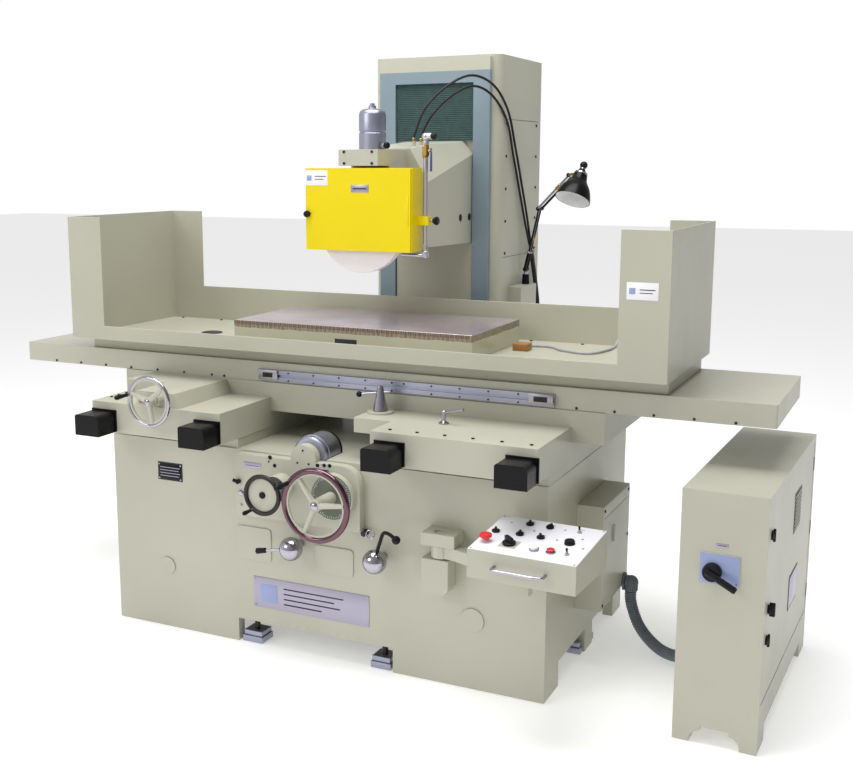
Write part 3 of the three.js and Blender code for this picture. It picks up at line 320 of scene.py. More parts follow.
def mix_finishes():
    F.update(band=column_frame_enamel(), cloth=way_cloth(), chuck=chuck_top(), grit=abrasive())
    for key, name, tone, *look in (
        ("cream", "cream_enamel", (182, 181, 165)),
        ("shade_cream", "cream_sheet_enamel", (180, 179, 162), 0.04, 0.4, 0.12),
        # dark gap colour: painted shade in seams and behind the cabinet's louvres
        ("seam", "seam_shadow", (92, 90, 76), 0.1, 0.6, 0.0),
        ("yellow", "yellow_enamel", (230, 207, 0), 0.03, 0.34, 0.1, 0.25),
        ("black_gloss", "black_enamel", (9, 9, 11), 0.15, 0.28, 0.0, 0.2),
        ("blue_plate", "switch_plate", (146, 158, 200), 0.05, 0.3, 0.2),
        ("white", "white_panel", (238, 238, 246), 0.02, 0.3, 0.3),
        ("red", "red_cap", (216, 24, 40), 0.05, 0.25, 0.4),
        ("dial", "dial_green", (98, 104, 90), 0.05, 0.4, 0.1),
        ("laminate", "pole_laminate", (104, 82, 66), 0.3, 0.35, 0.1),
        ("brown", "varnished_fibre", (150, 104, 52), 0.14, 0.4, 0.1),
        ("tag_white", "tag_white", (236, 236, 240), 0.02, 0.45, 0.1)):
        F[key] = enamel(name, linear(*tone), *look)
    for key, name, tone, *look in (
        ("chrome", "bright_chrome", (178, 175, 186), 0.08, (1, 1, 1), 0.03),
        # the rim's plum tone is a painted reflection of a dark room, baked into the chrome's colour
        ("rim", "polished_rim", (112, 84, 94), 0.1, (1, 1, 1), 0.03),
        ("steel", "turned_steel", (176, 176, 182), 0.28, (1, 6, 1)),
        ("dark_steel", "blackened_steel", (66, 62, 62), 0.42),
        ("alloy", "cast_alloy", (168, 170, 188), 0.36, (1, 1, 1), 0.35),
        ("zinc", "galvanised_pipe", (200, 198, 204), 0.3, (1, 1, 3)),
        ("brass", "machined_brass", (196, 160, 92), 0.24),
        ("plate", "anodised_plate", (168, 164, 180), 0.34, (18, 1, 1), 0.12),
        ("pole", "pole_steel", (126, 116, 108), 0.4)):
        F[key] = plain_metal(name, linear(*tone), *look)
    for key, name, tone, *look in (
        ("black", "black_moulding", (20, 19, 22), 0.4, 0.15, 0.2),
        ("rubber", "hose_rubber", (28, 25, 27), 0.5, 0.3),
        ("slate", "conduit_cover", (108, 114, 124), 0.5, 0.4),
        # dark print colour, also used as painted shade in the vent slots
        ("ink", "dark_print", (46, 44, 52), 0.5),
        ("grey_cable", "grey_cable", (168, 168, 176), 0.45),
        ("lever_blue", "blue_grip", (70, 84, 150), 0.4)):
        F[key] = moulding(name, linear(*tone), *look)
    F["lamp_white"] = reflector_white("lamp_reflector", linear(250, 251, 255), 0.3)


# ---- mesh building ----------------------------------------------------------------------------------
class Maker:
    """Collects shapes in millimetres, in the maker's axes or in a turned set of its own."""

    def __init__(self, name, place=None):
        self.name = name
        self.bm = bmesh.new()
        self.place = place or Matrix.Identity(4)
        self.slots = []

    def slot(self, finish):
        if finish not in self.slots:
            self.slots.append(finish)
        return self.slots.index(finish)

    def paint(self, verts, finish):
        index = self.slot(finish)
        for face in {f for v in verts for f in v.link_faces}:
            face.material_index = index
        return verts

    def rounded(self, verts, width):
        """Rounds every edge at the points and gives back the points there are now."""
        edges = list(dict.fromkeys(e for v in verts for e in v.link_edges))
        done = bmesh.ops.bevel(self.bm, geom=edges, offset=width, segments=2, profile=0.5, affect="EDGES",
                               clamp_overlap=True)
        return list({v for f in done["faces"] for v in f.verts} | {v for v in verts if v.is_valid})

    def block(self, finish, x0, x1, y0, y1, z0, z1, round_by=0.0, turn=None):
        """A block with rounded edges, turned about its own middle if asked."""
        made = bmesh.ops.create_cube(self.bm, size=1)["verts"]
        bmesh.ops.scale(self.bm, vec=(x1 - x0, y1 - y0, z1 - z0), verts=made)
        if round_by:
            made = self.rounded(made, round_by)
        if turn:
            bmesh.ops.transform(self.bm, matrix=turn.to_4x4(), verts=made)
        bmesh.ops.translate(self.bm, vec=((x0 + x1) / 2, (y0 + y1) / 2, (z0 + z1) / 2), verts=made)
        return self.paint(made, finish)

    def skin(self, rings, finish, capped=True):
        """Faces from each ring to the next, where a ring may be a single point, and over open ends."""
        for low, high in zip(rings, rings[1:]):
            sides = max(len(low), len(high))
            for k in range(sides if sides > 1 else 0):
                n = (k + 1) % sides
                start = low[:1] if len(low) == 1 else [low[k], low[n]]
                end = high[:1] if len(high) == 1 else [high[n], high[k]]
                self.bm.faces.new(start + end)
        for loop in (rings[0][::-1], rings[-1]):
            if capped and len(loop) > 1:
                self.bm.faces.new(loop)
        return self.paint([v for ring in rings for v in ring], finish)

    def lathe(self, finish, profile, start, along, sides=40):
        """Turns (radius, height) points about the line from start in the direction along."""
        axis = Vector(along).normalized()
        turn = axis.to_track_quat("Z", "Y").to_matrix()
        start = Vector(start)
        rings = []
        for radius, height in profile:
            if radius < 1e-6:
                rings.append([self.bm.verts.new(start + turn @ Vector((0, 0, height)))])
                continue
            angles = [2 * math.pi * k / sides for k in range(sides)]
            rings.append([self.bm.verts.new(start + turn @ Vector((radius * math.cos(a), radius * math.sin(a),
                                                                   height))) for a in angles])
        return self.skin(rings, finish, capped=profile[0] != profile[-1])

    def rod(self, finish, start, end, radius, end_radius=None, sides=24, chamfer=None):
        start, end = Vector(start), Vector(end)
        length = (end - start).length
        last = radius if end_radius is None else end_radius
        cut = min(radius, last, length) * 0.18 if chamfer is None else chamfer
        profile = [(0, 0), (radius - cut, 0), (radius, cut), (last, length - cut), (last - cut, length),
                (0, length)]
        if cut <= 0:
            profile = [(0, 0), (radius, 0), (last, length), (0, length)]
        return self.lathe(finish, profile, start, end - start, sides)

    def ball(self, finish, centre, radius, sides=28, rings=16):
        profile = [(radius * math.sin(math.pi * k / rings), -radius * math.cos(math.pi * k / rings))
                   for k in range(rings + 1)]
        profile[0] = (0, -radius)
        profile[-1] = (0, radius)
        return self.lathe(finish, profile, centre, UP, sides)

    def tube(self, finish, points, radius, sides=14):
        """A round bar swept through points."""
        pts = [Vector(p) for p in points]
        tangents = [(pts[min(i + 1, len(pts) - 1)] - pts[max(i - 1, 0)]).normalized()
                for i in range(len(pts))]
        normal = tangents[0].orthogonal().normalized()
        rings = []
        for p, t in zip(pts, tangents):
            normal = (normal - t * normal.dot(t)).normalized()
            side = t.cross(normal)
            rings.append([self.bm.verts.new(p + (normal * math.cos(2 * math.pi * k / sides)
                                                 + side * math.sin(2 * math.pi * k / sides)) * radius)
                          for k in range(sides)])
        return self.skin(rings, finish)

    def torus(self, finish, centre, along, rim, radius, sides=72, ring=16):
        turn = Vector(along).normalized().to_track_quat("Z", "Y").to_matrix()
        rings = []
        for k in range(sides):
            a = 2 * math.pi * k / sides
            out = Vector((math.cos(a), math.sin(a), 0))
            rings.append([self.bm.verts.new(Vector(centre) + turn @ (
                out * (rim + radius * math.cos(2 * math.pi * j / ring))
                + Vector((0, 0, radius * math.sin(2 * math.pi * j / ring))))) for j in range(ring)])
        for k in range(sides):
            low, high = rings[k], rings[(k + 1) % sides]
            for j in range(ring):
                n = (j + 1) % ring
                self.bm.faces.new((low[j], high[j], high[n], low[n]))
        return self.paint([v for r in rings for v in r], finish)

    def prism(self, finish, outline, axis, low, high, round_by=0.0):
        """An outline in the two other axes (in X, Y, Z order) pushed along axis."""
        def place(u, v, w):
            return {"X": (w, u, v), "Y": (u, w, v), "Z": (u, v, w)}[axis]
        bottom = [self.bm.verts.new(place(u, v, low)) for u, v in outline]
        top = [self.bm.verts.new(place(u, v, high)) for u, v in outline]
        faces = [self.bm.faces.new(list(reversed(bottom))), self.bm.faces.new(top)]
        for k in range(len(outline)):
            n = (k + 1) % len(outline)
            faces.append(self.bm.faces.new((bottom[k], bottom[n], top[n], top[k])))
        bmesh.ops.recalc_face_normals(self.bm, faces=faces)
        verts = bottom + top
        return self.paint(self.rounded(verts, round_by) if round_by else verts, finish)

    def weld(self, dist=0.0005):
        bmesh.ops.remove_doubles(self.bm, verts=self.bm.verts, dist=dist)

    def finish(self, body, replaces=(), slot=None):
        """Writes the mesh in the row frame and hands the piece to its body."""
        bmesh.ops.transform(self.bm, matrix=TO_ROW @ self.place, verts=self.bm.verts)
        mesh = bpy.data.meshes.new(self.name)
        self.bm.to_mesh(mesh)
        self.bm.free()
        mesh.shade_smooth()
        mesh.set_sharp_from_angle(angle=SHARP)
        for name in self.slots:
            mesh.materials.append(F[name].mat)
        obj = put_in_scene(self.name, mesh)
        if replaces:
            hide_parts(*replaces)
        if body:
            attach(obj, body)
        return obj


BEVELLED = math.radians(28)
FLAT = math.radians(0.6)
SAFE_SHARE = 0.45
STALE_SHADING = ("custom_normal", "sharp_edge", "sharp_face")


def soften(obj, width):
    """Broken edges of one width, in millimetres, wherever two faces meet sharply."""
    mod = obj.modifiers.new("edges", "BEVEL")
    mod.width = width * MM
    mod.segments = 3
    mod.limit_method = "ANGLE"
    mod.angle_limit = BEVELLED
    mod.use_clamp_overlap = False
    mod.harden_normals = True


def spare_room(bm):
    """The shortest edge that runs off a sharp one, in millimetres: a wider broken edge folds over."""
    turned = {e: e.calc_face_angle(0.0) if len(e.link_faces) == 2 else 0.0 for e in bm.edges}
    room = 1000.0
    for e in bm.edges:
        if turned[e] < BEVELLED:
            continue
        along = (e.verts[1].co - e.verts[0].co).normalized()
        for other in {o for v in e.verts for o in v.link_edges
                      if o is not e and turned[o] > math.radians(1.0)}:
            reach = other.verts[1].co - other.verts[0].co
            if abs(reach.normalized().dot(along)) < 0.97:
                room = min(room, reach.length / MM)
    return room


def casting(node, finish, body, edge):
    """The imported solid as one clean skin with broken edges, in place of the raw one."""
    bm = bmesh.new()
    bm.from_mesh(NODES[node].data)
    bmesh.ops.remove_doubles(bm, verts=bm.verts, dist=2e-5)
    bmesh.ops.dissolve_limit(bm, angle_limit=FLAT, verts=bm.verts, edges=bm.edges, delimit={"NORMAL"})
    width = min(edge, SAFE_SHARE * spare_room(bm))
    mesh = bpy.data.meshes.new(node + "_skin")
    bm.to_mesh(mesh)
    bm.free()
    for stale in [a for a in mesh.attributes if a.name in STALE_SHADING]:
        mesh.attributes.remove(stale)
    mesh.shade_smooth()
    mesh.set_sharp_from_angle(angle=SHARP)
    mesh.materials.clear()
    mesh.materials.append(F[finish].mat)
    obj = put_in_scene(node + "_skin", mesh)
    soften(obj, width)
    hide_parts(node)
    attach(obj, body)


def smooth_path(points, count):
    """A centripetal curve through the points, as count points at equal steps."""
    pts = [Vector(p) for p in points]
    pts = [pts[0] * 2 - pts[1]] + pts + [pts[-1] * 2 - pts[-2]]
    dense = []
    for i in range(1, len(pts) - 2):
        p0, p1, p2, p3 = pts[i - 1:i + 3]
        t0 = 0.0
        t1 = t0 + max((p1 - p0).length, 1e-6) ** 0.5
        t2 = t1 + max((p2 - p1).length, 1e-6) ** 0.5
        t3 = t2 + max((p3 - p2).length, 1e-6) ** 0.5
        for k in range(24):
            t = t1 + (t2 - t1) * k / 24
            a1 = p0 * ((t1 - t) / (t1 - t0)) + p1 * ((t - t0) / (t1 - t0))
            a2 = p1 * ((t2 - t) / (t2 - t1)) + p2 * ((t - t1) / (t2 - t1))
            a3 = p2 * ((t3 - t) / (t3 - t2)) + p3 * ((t - t2) / (t3 - t2))
            b1 = a1 * ((t2 - t) / (t2 - t0)) + a2 * ((t - t0) / (t2 - t0))
            b2 = a2 * ((t3 - t) / (t3 - t1)) + a3 * ((t - t1) / (t3 - t1))
            dense.append(b1 * ((t2 - t) / (t2 - t1)) + b2 * ((t - t1) / (t2 - t1)))
    dense.append(pts[-2])
    lengths = [0.0]
    for a, b in zip(dense, dense[1:]):
        lengths.append(lengths[-1] + (b - a).length)
    out = []
    j = 0
    for k in range(count):
        want = lengths[-1] * k / (count - 1)
        while j < len(lengths) - 2 and lengths[j + 1] < want:
            j += 1
        share = (want - lengths[j]) / max(lengths[j + 1] - lengths[j], 1e-9)
        out.append(dense[j].lerp(dense[j + 1], share))
    return out, lengths[-1]


# ---- grown pieces -----------------------------------------------------------------------------------
class Growth(Graph):
    """A node graph that grows one repeated or swept piece from named sizes, in millimetres."""

    def __init__(self, name, sizes):
        self.name = name
        super().__init__(bpy.data.node_groups.new(name, "GeometryNodeTree"))
        self.tree.is_modifier = True
        face = self.tree.interface
        face.new_socket("Geometry", in_out="INPUT", socket_type="NodeSocketGeometry")
        face.new_socket("Geometry", in_out="OUTPUT", socket_type="NodeSocketGeometry")
        self.inlet = self.tree.nodes.new("NodeGroupInput")
        self.sizes = {}
        for label, value in sizes.items():
            kind = {int: "NodeSocketInt", float: "NodeSocketFloat"}.get(type(value), "NodeSocketVector")
            self.sizes[face.new_socket(label, in_out="INPUT", socket_type=kind).identifier] = value

    def size(self, label):
        return self.inlet.outputs[label]

    def vector(self, x=0.0, y=0.0, z=0.0):
        return self.node("ShaderNodeCombineXYZ", {0: x, 1: y, 2: z}).outputs[0]

    def painted(self, geometry, finish, selection=None):
        links = {"Geometry": geometry, "Material": F[finish].mat}
        if selection is not None:
            links["Selection"] = selection
        return self.node("GeometryNodeSetMaterial", links).outputs[0]

    def grow(self, geometry, source=None, place=None, sharp=SHARP):
        """Ends the graph, runs it once on source and leaves a plain mesh in the row frame."""
        real = self.node("GeometryNodeRealizeInstances", {0: geometry}).outputs[0]
        out = self.tree.nodes.new("NodeGroupOutput")
        self.tree.links.new(real, out.inputs[0])
        mesh = source or bpy.data.meshes.new(self.name + "_seed")
        obj = put_in_scene(self.name, mesh)
        mod = obj.modifiers.new("growth", "NODES")
        mod.node_group = self.tree
        for identifier, value in self.sizes.items():
            mod[identifier] = value
        obj.update_tag()
        graph = bpy.context.evaluated_depsgraph_get()
        grown = bpy.data.meshes.new_from_object(obj.evaluated_get(graph), depsgraph=graph)
        obj.modifiers.remove(mod)
        obj.data = grown
        grown.transform(TO_ROW @ (place or Matrix.Identity(4)))
        grown.shade_smooth()
        grown.set_sharp_from_angle(angle=sharp)
        return obj


def seed(name, points, chained=False):
    mesh = bpy.data.meshes.new(name)
    edges = [(k, k + 1) for k in range(len(points) - 1)] if chained else []
    mesh.from_pydata([tuple(p) for p in points], edges, [])
    return mesh


def screws(name, body, points, along=FRONT, radius=5.0, height=3.0, finish="dark_steel", place=None):
    """Socket heads at the points, each turned by its own angle."""
    g = Growth(name, {"Head radius": radius, "Head height": height, "Socket share": 0.55, "Seed": 7})
    head = g.node("GeometryNodeMeshCylinder", {"Vertices": 18, "Radius": g.size("Head radius"),
                                               "Depth": g.size("Head height")})
    ring = g.node("GeometryNodeExtrudeMesh", {"Mesh": head.outputs["Mesh"],
            "Selection": head.outputs["Top"], "Offset Scale": 0.001}, mode="FACES")
    small = g.node("GeometryNodeScaleElements", {"Geometry": ring.outputs["Mesh"],
            "Selection": ring.outputs["Top"], "Scale": g.size("Socket share")})
    sunk = g.node("GeometryNodeExtrudeMesh", {
        "Mesh": small.outputs[0], "Selection": ring.outputs["Top"],
        "Offset Scale": g.maths("MULTIPLY", g.size("Head height"), -0.6)}, mode="FACES")
    turn = Vector(along).to_track_quat("Z", "Y").to_euler()
    spin = g.node("FunctionNodeRandomValue", {"Seed": g.size("Seed"), 2: 0.0, 3: 6.283}, data_type="FLOAT")
    lifted = g.node("GeometryNodeTransform", {"Geometry": sunk.outputs["Mesh"], "Translation": g.vector(
        0.0, 0.0, g.maths("MULTIPLY", g.size("Head height"), 0.5))})
    twist = g.node("FunctionNodeRotateEuler", {"Rotation": tuple(turn), "Axis": tuple(along),
            "Angle": spin.outputs[1]}, rotation_type="AXIS_ANGLE", space="OBJECT")
    rows = g.node("GeometryNodeMeshToPoints", {"Mesh": g.inlet.outputs["Geometry"]})
    placed = g.node("GeometryNodeInstanceOnPoints", {"Points": rows.outputs[0],
            "Instance": lifted.outputs[0], "Rotation": twist.outputs[0]})
    obj = g.grow(g.painted(placed.outputs[0], finish), seed(name + "_rows", points), place)
    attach(obj, body)
    return obj


def row(start, end, count):
    a, b = Vector(start), Vector(end)
    return [a.lerp(b, k / (count - 1)) for k in range(count)]


def ribbed_hose(name, points, radius, rib, pitch, finish):
    """A hose with rolled ribs that runs along the points."""
    path, length = smooth_path(points, 90)
    g = Growth(name, {"Radius": float(radius), "Rib depth": float(rib), "Rib pitch": float(pitch),
                      "Steps": int(length / pitch * 6)})
    curve = g.node("GeometryNodeMeshToCurve", {"Mesh": g.inlet.outputs["Geometry"]})
    even = g.node("GeometryNodeResampleCurve", {"Curve": curve.outputs[0], "Count": g.size("Steps")})
    along = g.node("GeometryNodeSplineParameter").outputs["Length"]
    wave = g.maths("SINE", g.maths("MULTIPLY", g.maths("DIVIDE", along, g.size("Rib pitch")), 2 * math.pi))
    girth = g.maths("ADD", g.size("Radius"), g.maths("MULTIPLY", g.maths("SUBTRACT", wave, 1.0),
                                                     g.maths("MULTIPLY", g.size("Rib depth"), 0.5)))
    hoop = g.node("GeometryNodeCurvePrimitiveCircle", {"Resolution": 28, "Radius": 1.0})
    sized = g.node("GeometryNodeCurveToMesh", {"Curve": even.outputs[0], "Profile Curve": hoop.outputs[0],
                                               "Fill Caps": True, "Scale": girth})
    obj = g.grow(g.painted(sized.outputs[0], finish), seed(name + "_path", path, True),
            sharp=math.radians(60))
    return obj, path, length


def slats(name, body, start, step, count, size, finish, second=None):
    """A row of equal slats, every other one in the second finish."""
    g = Growth(name, {"Count": count, "Step": tuple(step), "Slat size": tuple(size)})
    line = g.node("GeometryNodeMeshLine", {"Count": g.size("Count"), "Start Location": tuple(start),
                                           "Offset": g.size("Step")})
    slat = g.node("GeometryNodeMeshCube", {"Size": g.size("Slat size")})
    placed = g.node("GeometryNodeInstanceOnPoints", {"Points": line.outputs[0],
            "Instance": slat.outputs[0]})
    shape = g.painted(placed.outputs[0], finish)
    if second:
        cubes = g.node("GeometryNodeRealizeInstances", {0: placed.outputs[0]}).outputs[0]
        first = g.painted(cubes, finish)
        block = g.maths("FLOOR", g.maths("DIVIDE", g.node("GeometryNodeInputIndex").outputs[0], 6.0))
        odd = g.maths("MODULO", block, 2.0)
        shape = g.painted(first, second, odd)
    obj = g.grow(shape)
    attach(obj, body)
    return obj


# ---- hoses ------------------------------------------------------------------------------------------
CONDUIT_ROUTE = [(1012, 104, 204), (1012, 103.3, 198), (1013, 101, 178), (1022.6, 94, 145), (1053, 72, 92),
                 (1100, 40, 55), (1157, 4, 35), (1205, -20, 34), (1250, -38, 44), (1290, -46.6, 53),
                 (1312, -47.4, 54), (1321.2, -47.7, 54)]
FRONT_HOSE = [(60, 215, 1872.3), (60, 215, 1890), (64, 224, 1915), (86, 258, 1998), (150, 340, 2092),
              (218, 418, 2134), (274, 500, 2106), (305, 600, 2012), (309, 700, 1850), (309, 790, 1690),
              (309, 860, 1562), (309, 922, 1430)]
REAR_HOSE = [(60, 285, 1872.3), (60, 285, 1890), (64, 292, 1912), (92, 318, 1978), (154, 382, 2058),
             (216, 446, 2094), (262, 520, 2066), (297, 612, 1970), (299, 706, 1812), (300, 800, 1642),
             (301, 862, 1530), (303, 920, 1430)]
MAIN_HOSE = [(307, 920, 1436), (307, 945, 1378), (306, 1000, 1262), (305, 1040, 1160), (304, 1049, 1104)]


def supply_conduit():
    """Ribbed conduit from the side tank to the switch cabinet."""
    obj, path, length = ribbed_hose("conduit_hose", CONDUIT_ROUTE, 22, 2.4, 9.0, "slate")
    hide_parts("conduit")
    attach(obj, "base")


def lubrication_hoses():
    """Twin grease lines from the wheelhead over to the column, one sleeve below their joint."""
    m = Maker("lubrication_hoses")
    for points in (FRONT_HOSE, REAR_HOSE):
        path, _ = smooth_path(points, 110)
        m.tube("rubber", path, 5, 14)
    path, _ = smooth_path(MAIN_HOSE, 50)
    m.tube("rubber", path, 10, 18)
    m.lathe("brass", [(0, 0), (9.6, 0), (10.4, 2), (10.4, 26), (9.8, 30), (0, 30)], (307, 921, 1434),
            (0.01, 0.22, -0.97), 6)
    m.rod("brass", (304, 1049, 1108), (304, 1050, 1082), 11, sides=6)
    m.rod("zinc", (293.5, 1050, 1090), (312, 1050, 1090), 11.6, sides=20)
    for y in (215, 285):
        m.rod("brass", (60, y, 1872.4), (60, y, 1886), 8, sides=6)
    obj = m.finish(None, ["lube_hoses"], "hose_rubber")
    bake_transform(obj, "base", "head", start=at(309, 922, 1430), end=at(60, 250, 1900))


# ---- bed and column ---------------------------------------------------------------------------------
def bed():
    casting("bed", "cream", "base", 9)
    m = Maker("bed_front_plates")
    m.block("ink", -677, -563, -527.5, -525.4, 592, 663, 1.2)
    m.block("black", -672, -568, -528.2, -527, 597, 658, 0.5)
    for k in range(4):
        m.block("plate", -666, -580 + 6 * (k % 2), -528.8, -528, 609 + 11 * k, 611.5 + 11 * k)
    m.block("plate", -253, 232, -528.4, -525.4, 152, 270, 1.4)
    m.block("blue_plate", -222, -150, -529.1, -528, 176, 246, 0.4)
    for k, width in enumerate((250, 212, 236, 160)):
        m.block("ink", -122, -122 + width, -529, -528, 236 - 20 * k, 241 - 20 * k)
    for x0, x1, z0, z1 in ((-322, -172, 332, 460), (11, 169, 329, 431)):
        m.block("cream", x0 + 6, x1 - 6, -530.9, -530, z0 + 6, z1 - 6, 0.4)
    m.rod("dark_steel", (221, -526.2, 507), (221, -552, 507), 11)
    m.torus("chrome", (246, -546, 507), (0.2, -1, 0.1), 15, 2.2, 32, 8)
    m.finish("base", slot="cream_paint")
    screws("bed_plate_screws", "base", [(x, -528.6, z) for x in (-246, 225) for z in (159, 263)]
            + [(x, -528.2, z) for x in (-669, -571) for z in (600, 655)], radius=3.2, height=1.6,
            finish="steel")
    screws("bed_cover_screws", "base", [(x, -530.6, z) for x in (-308, -186) for z in (346, 446)]
           + [(x, -530.6, z) for x in (25, 155) for z in (343, 417)]
           + [(-645 + 24 * math.cos(a), -530.6, 249 + 24 * math.sin(a)) for a in (0.5, 2.6, 4.7)]
           + [(626 + 31 * math.cos(a), -530.6, 250 + 31 * math.sin(a)) for a in (0.5, 2.6, 4.7)],
           radius=4.5, height=0.5, finish="cream")
    w = Maker("levelling_wedges")
    for x0, x1, y0, y1 in ((-312, -226, -519, -440), (232, 312, -519, -440), (800, 880, -90, -62),
            (800, 880, 50, 84)):
        w.block("alloy", x0, x1, y0, y1, 0, 24, 2)
        w.block("alloy", x0 + 4, x1 - 4, y0 + 4, y1 - 4, 25, 44, 2)
        w.rod("dark_steel", ((x0 + x1) / 2, (y0 + y1) / 2, 44), ((x0 + x1) / 2, (y0 + y1) / 2, 74), 12,
                sides=6)
    w.finish("base", slot="silver")


def column():
    casting("column", "cream", "base", 5)
    m = Maker("column_fittings")
    # dark lines at the side cover's joints: painted shade in the seams
    m.block("seam", 288.6, 289.6, 620, 1040, 1392, 1394)
    m.block("seam", 288.6, 289.6, 620, 1040, 1968, 1970)
    m.rod("zinc", (289.2, 1050, 1090), (293.2, 1050, 1090), 17, sides=6)
    m.block("cream", -210, 210, 1082.8, 1086.5, 1080, 2080, 1.6)
    m.block("cream", -889.5, -885.8, -380, 300, 190, 660, 1.6)
    m.finish("base", slot="cream_paint")
    screws("column_cover_screws", "base", [(x, 1086.5, z) for x in (-190, 190) for z in (1100, 1340, 1580,
            1820, 2060)], along=BACK, radius=6, height=3)
    screws("bed_cover_side_screws", "base", [(-889.5, y, z) for y in (-362, -40, 282) for z in (208, 642)],
           along=LEFT, radius=6, height=3)
    # dark bars in the vent covers: painted shade in the slots
    slats("column_vent", "base", (0, 1087.2, 1180), (0, 0, 14), 12, (260, 2.4, 6), "ink")
    slats("bed_vent", "base", (-890, 130, 300), (0, 0, 14), 12, (2.4, 220, 6), "ink")
    screws("column_side_screws", "base", row((289, 640, 1410), (289, 640, 1952), 5) + row((289, 1020, 1410),
            (289, 1020, 1952), 5), along=RIGHT, radius=6, height=3)


def column_front():
    casting("column_front_frame", "band", "base", 2.2)
    screws("front_frame_screws", "base", [(x, 541.4, z) for x in (-214, 214) for z in (860, 1120, 1380,
            1640, 1900, 2150)], radius=4.2, height=0.6, finish="band")


def folded_way_cover():
    """Folding cover over the column's ways, above the wheelhead."""
    low, high, folds = 1880.3, 2115.7, 30
    g = Growth("folding_way_cover", {"Width": 352.0, "Height": high - low, "Fold depth": 2.2,
            "Folds": folds})
    sheet = g.node("GeometryNodeMeshCube", {
        "Size": g.vector(g.size("Width"), 9.9, g.size("Height")),
        "Vertices Z": g.maths("ADD", g.maths("MULTIPLY", g.size("Folds"), 4.0), 1.0)})
    where = g.node("GeometryNodeInputPosition").outputs[0]
    parts = g.node("ShaderNodeSeparateXYZ", {0: where})
    pitch = g.maths("DIVIDE", g.size("Height"), g.size("Folds"))
    rise = g.maths("ADD", parts.outputs[2], g.maths("MULTIPLY", g.size("Height"), 0.5))
    fold = g.maths("PINGPONG", rise, g.maths("MULTIPLY", pitch, 0.5))
    sunk = g.maths("MULTIPLY", g.maths("DIVIDE", fold, pitch), g.maths("MULTIPLY", g.size("Fold depth"),
            2.0))
    front = g.maths("LESS_THAN", parts.outputs[1], 0.0)
    folded = g.node("GeometryNodeSetPosition", {"Geometry": sheet.outputs[0], "Selection": front,
                                                "Offset": g.vector(0.0, sunk, 0.0)})
    obj = g.grow(g.painted(folded.outputs[0], "cloth"),
            place=Matrix.Translation((0, 555, (low + high) / 2)), sharp=math.radians(20))
    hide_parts("upper_way_cover")
    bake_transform(obj, "base", "head", start=at(0, 555, high), end=at(0, 555, low))


# ---- wheelhead --------------------------------------------------------------------------------------
def wheelhead():
    casting("wheelhead", "cream", "head", 5)
    casting("lower_way_cover", "cream", "head", 2)
    m = Maker("wheelhead_fittings")
    for y in (425, 521):
        m.lathe("black", [(0, 0), (15, 0), (15, 1.6), (13, 2.4), (0, 2.4)], (173.8, y, 1567), RIGHT, 28)
        m.lathe("dark_steel", [(0, 0), (7, 0), (7, 2), (0, 2)], (175.6, y, 1567), RIGHT, 6)
    m.lathe("brass", [(0, 0), (12, 0), (12, 3), (10, 5), (0, 5)], (-50, 120, 1838), UP, 24)
    m.finish("head", slot="cream_paint")
    screws("nose_cover_screws", "head", [(x, -150, z) for x in (-58, 58) for z in (1787, 1829)], radius=5,
            height=3)
    screws("wheelhead_top_screws", "head", [(x, y, 1844) for x in (-78, 78) for y in (200, 320)], along=UP,
           radius=7, height=4)


SPINDLE_Z = 1555


def grinding_spindle():
    m = Maker("spindle_assembly")
    m.rod("steel", (0, 119, SPINDLE_Z), (0, -85, SPINDLE_Z), 39.8, sides=48)
    m.lathe("steel", [(0, 0), (77.8, 0), (78, 1), (78, 8.4), (76, 9.6), (0, 9.6)], (0, -80.1, SPINDLE_Z),
            FRONT, 64)
    m.lathe("steel", [(0, 0), (63.1, 0), (63.1, 49), (61, 51), (40, 51), (0, 51)], (0, -85, SPINDLE_Z),
            FRONT, 64)
    m.lathe("dark_steel", [(0, 0), (28, 0), (28, 5.4), (24, 6.9), (0, 6.9)], (0, -136, SPINDLE_Z), FRONT, 6)
    m.finish("wheel", ["spindle"], "steel")
    w = Maker("abrasive_wheel")
    w.lathe("grit", [(63.6, 0), (173.5, 0), (175, 1.5), (175, 38.4), (173.5, 39.9), (63.6, 39.9),
            (63.6, 0)], (0, -90.05, SPINDLE_Z), FRONT, 128)
    w.weld(0.001)
    w.finish("wheel", ["grinding_wheel"], "grit")


def wheel_guard():
    casting("wheel_guard", "yellow", "head", 3)
    m = Maker("guard_clamp_knob")
    m.rod("steel", (262, -80, 1578), (275, -80, 1578), 5)
    m.lathe("black", [(0, 0), (8, 0), (11, 4), (15, 10), (16, 17), (12, 22), (0, 23)], (274, -80, 1578),
            RIGHT, 28)
    m.finish("head", slot="black_plastic")
    casting("guard_door", "yellow", "guard_door", 2.4)
    d = Maker("guard_door_fittings")
    d.block("tag_white", -221, -125, -157.9, -156.8, 1705, 1761, 0.4)
    d.block("blue_plate", -214, -194, -158.4, -157.6, 1723, 1743, 0.2)
    d.block("ink", -180, -132, -158.3, -157.8, 1738, 1741)
    d.block("ink", -180, -142, -158.3, -157.8, 1727, 1729.5)
    d.block("plate", -27, 48, -157.9, -156.8, 1681, 1709, 0.3)
    d.block("ink", -18, 38, -158.3, -157.6, 1692, 1697)
    d.block("yellow", 201, 210, -158.6, -156.9, 1563, 1667, 0.6)
    d.lathe("black", [(0, 0), (11.6, 0), (11.6, 3), (12.6, 6), (12.6, 12), (11, 16.2), (0, 16.8)],
            (-212, -157, 1598), FRONT, 28)
    d.finish("guard_door", slot="yellow_paint")


RISER = (243, -80)


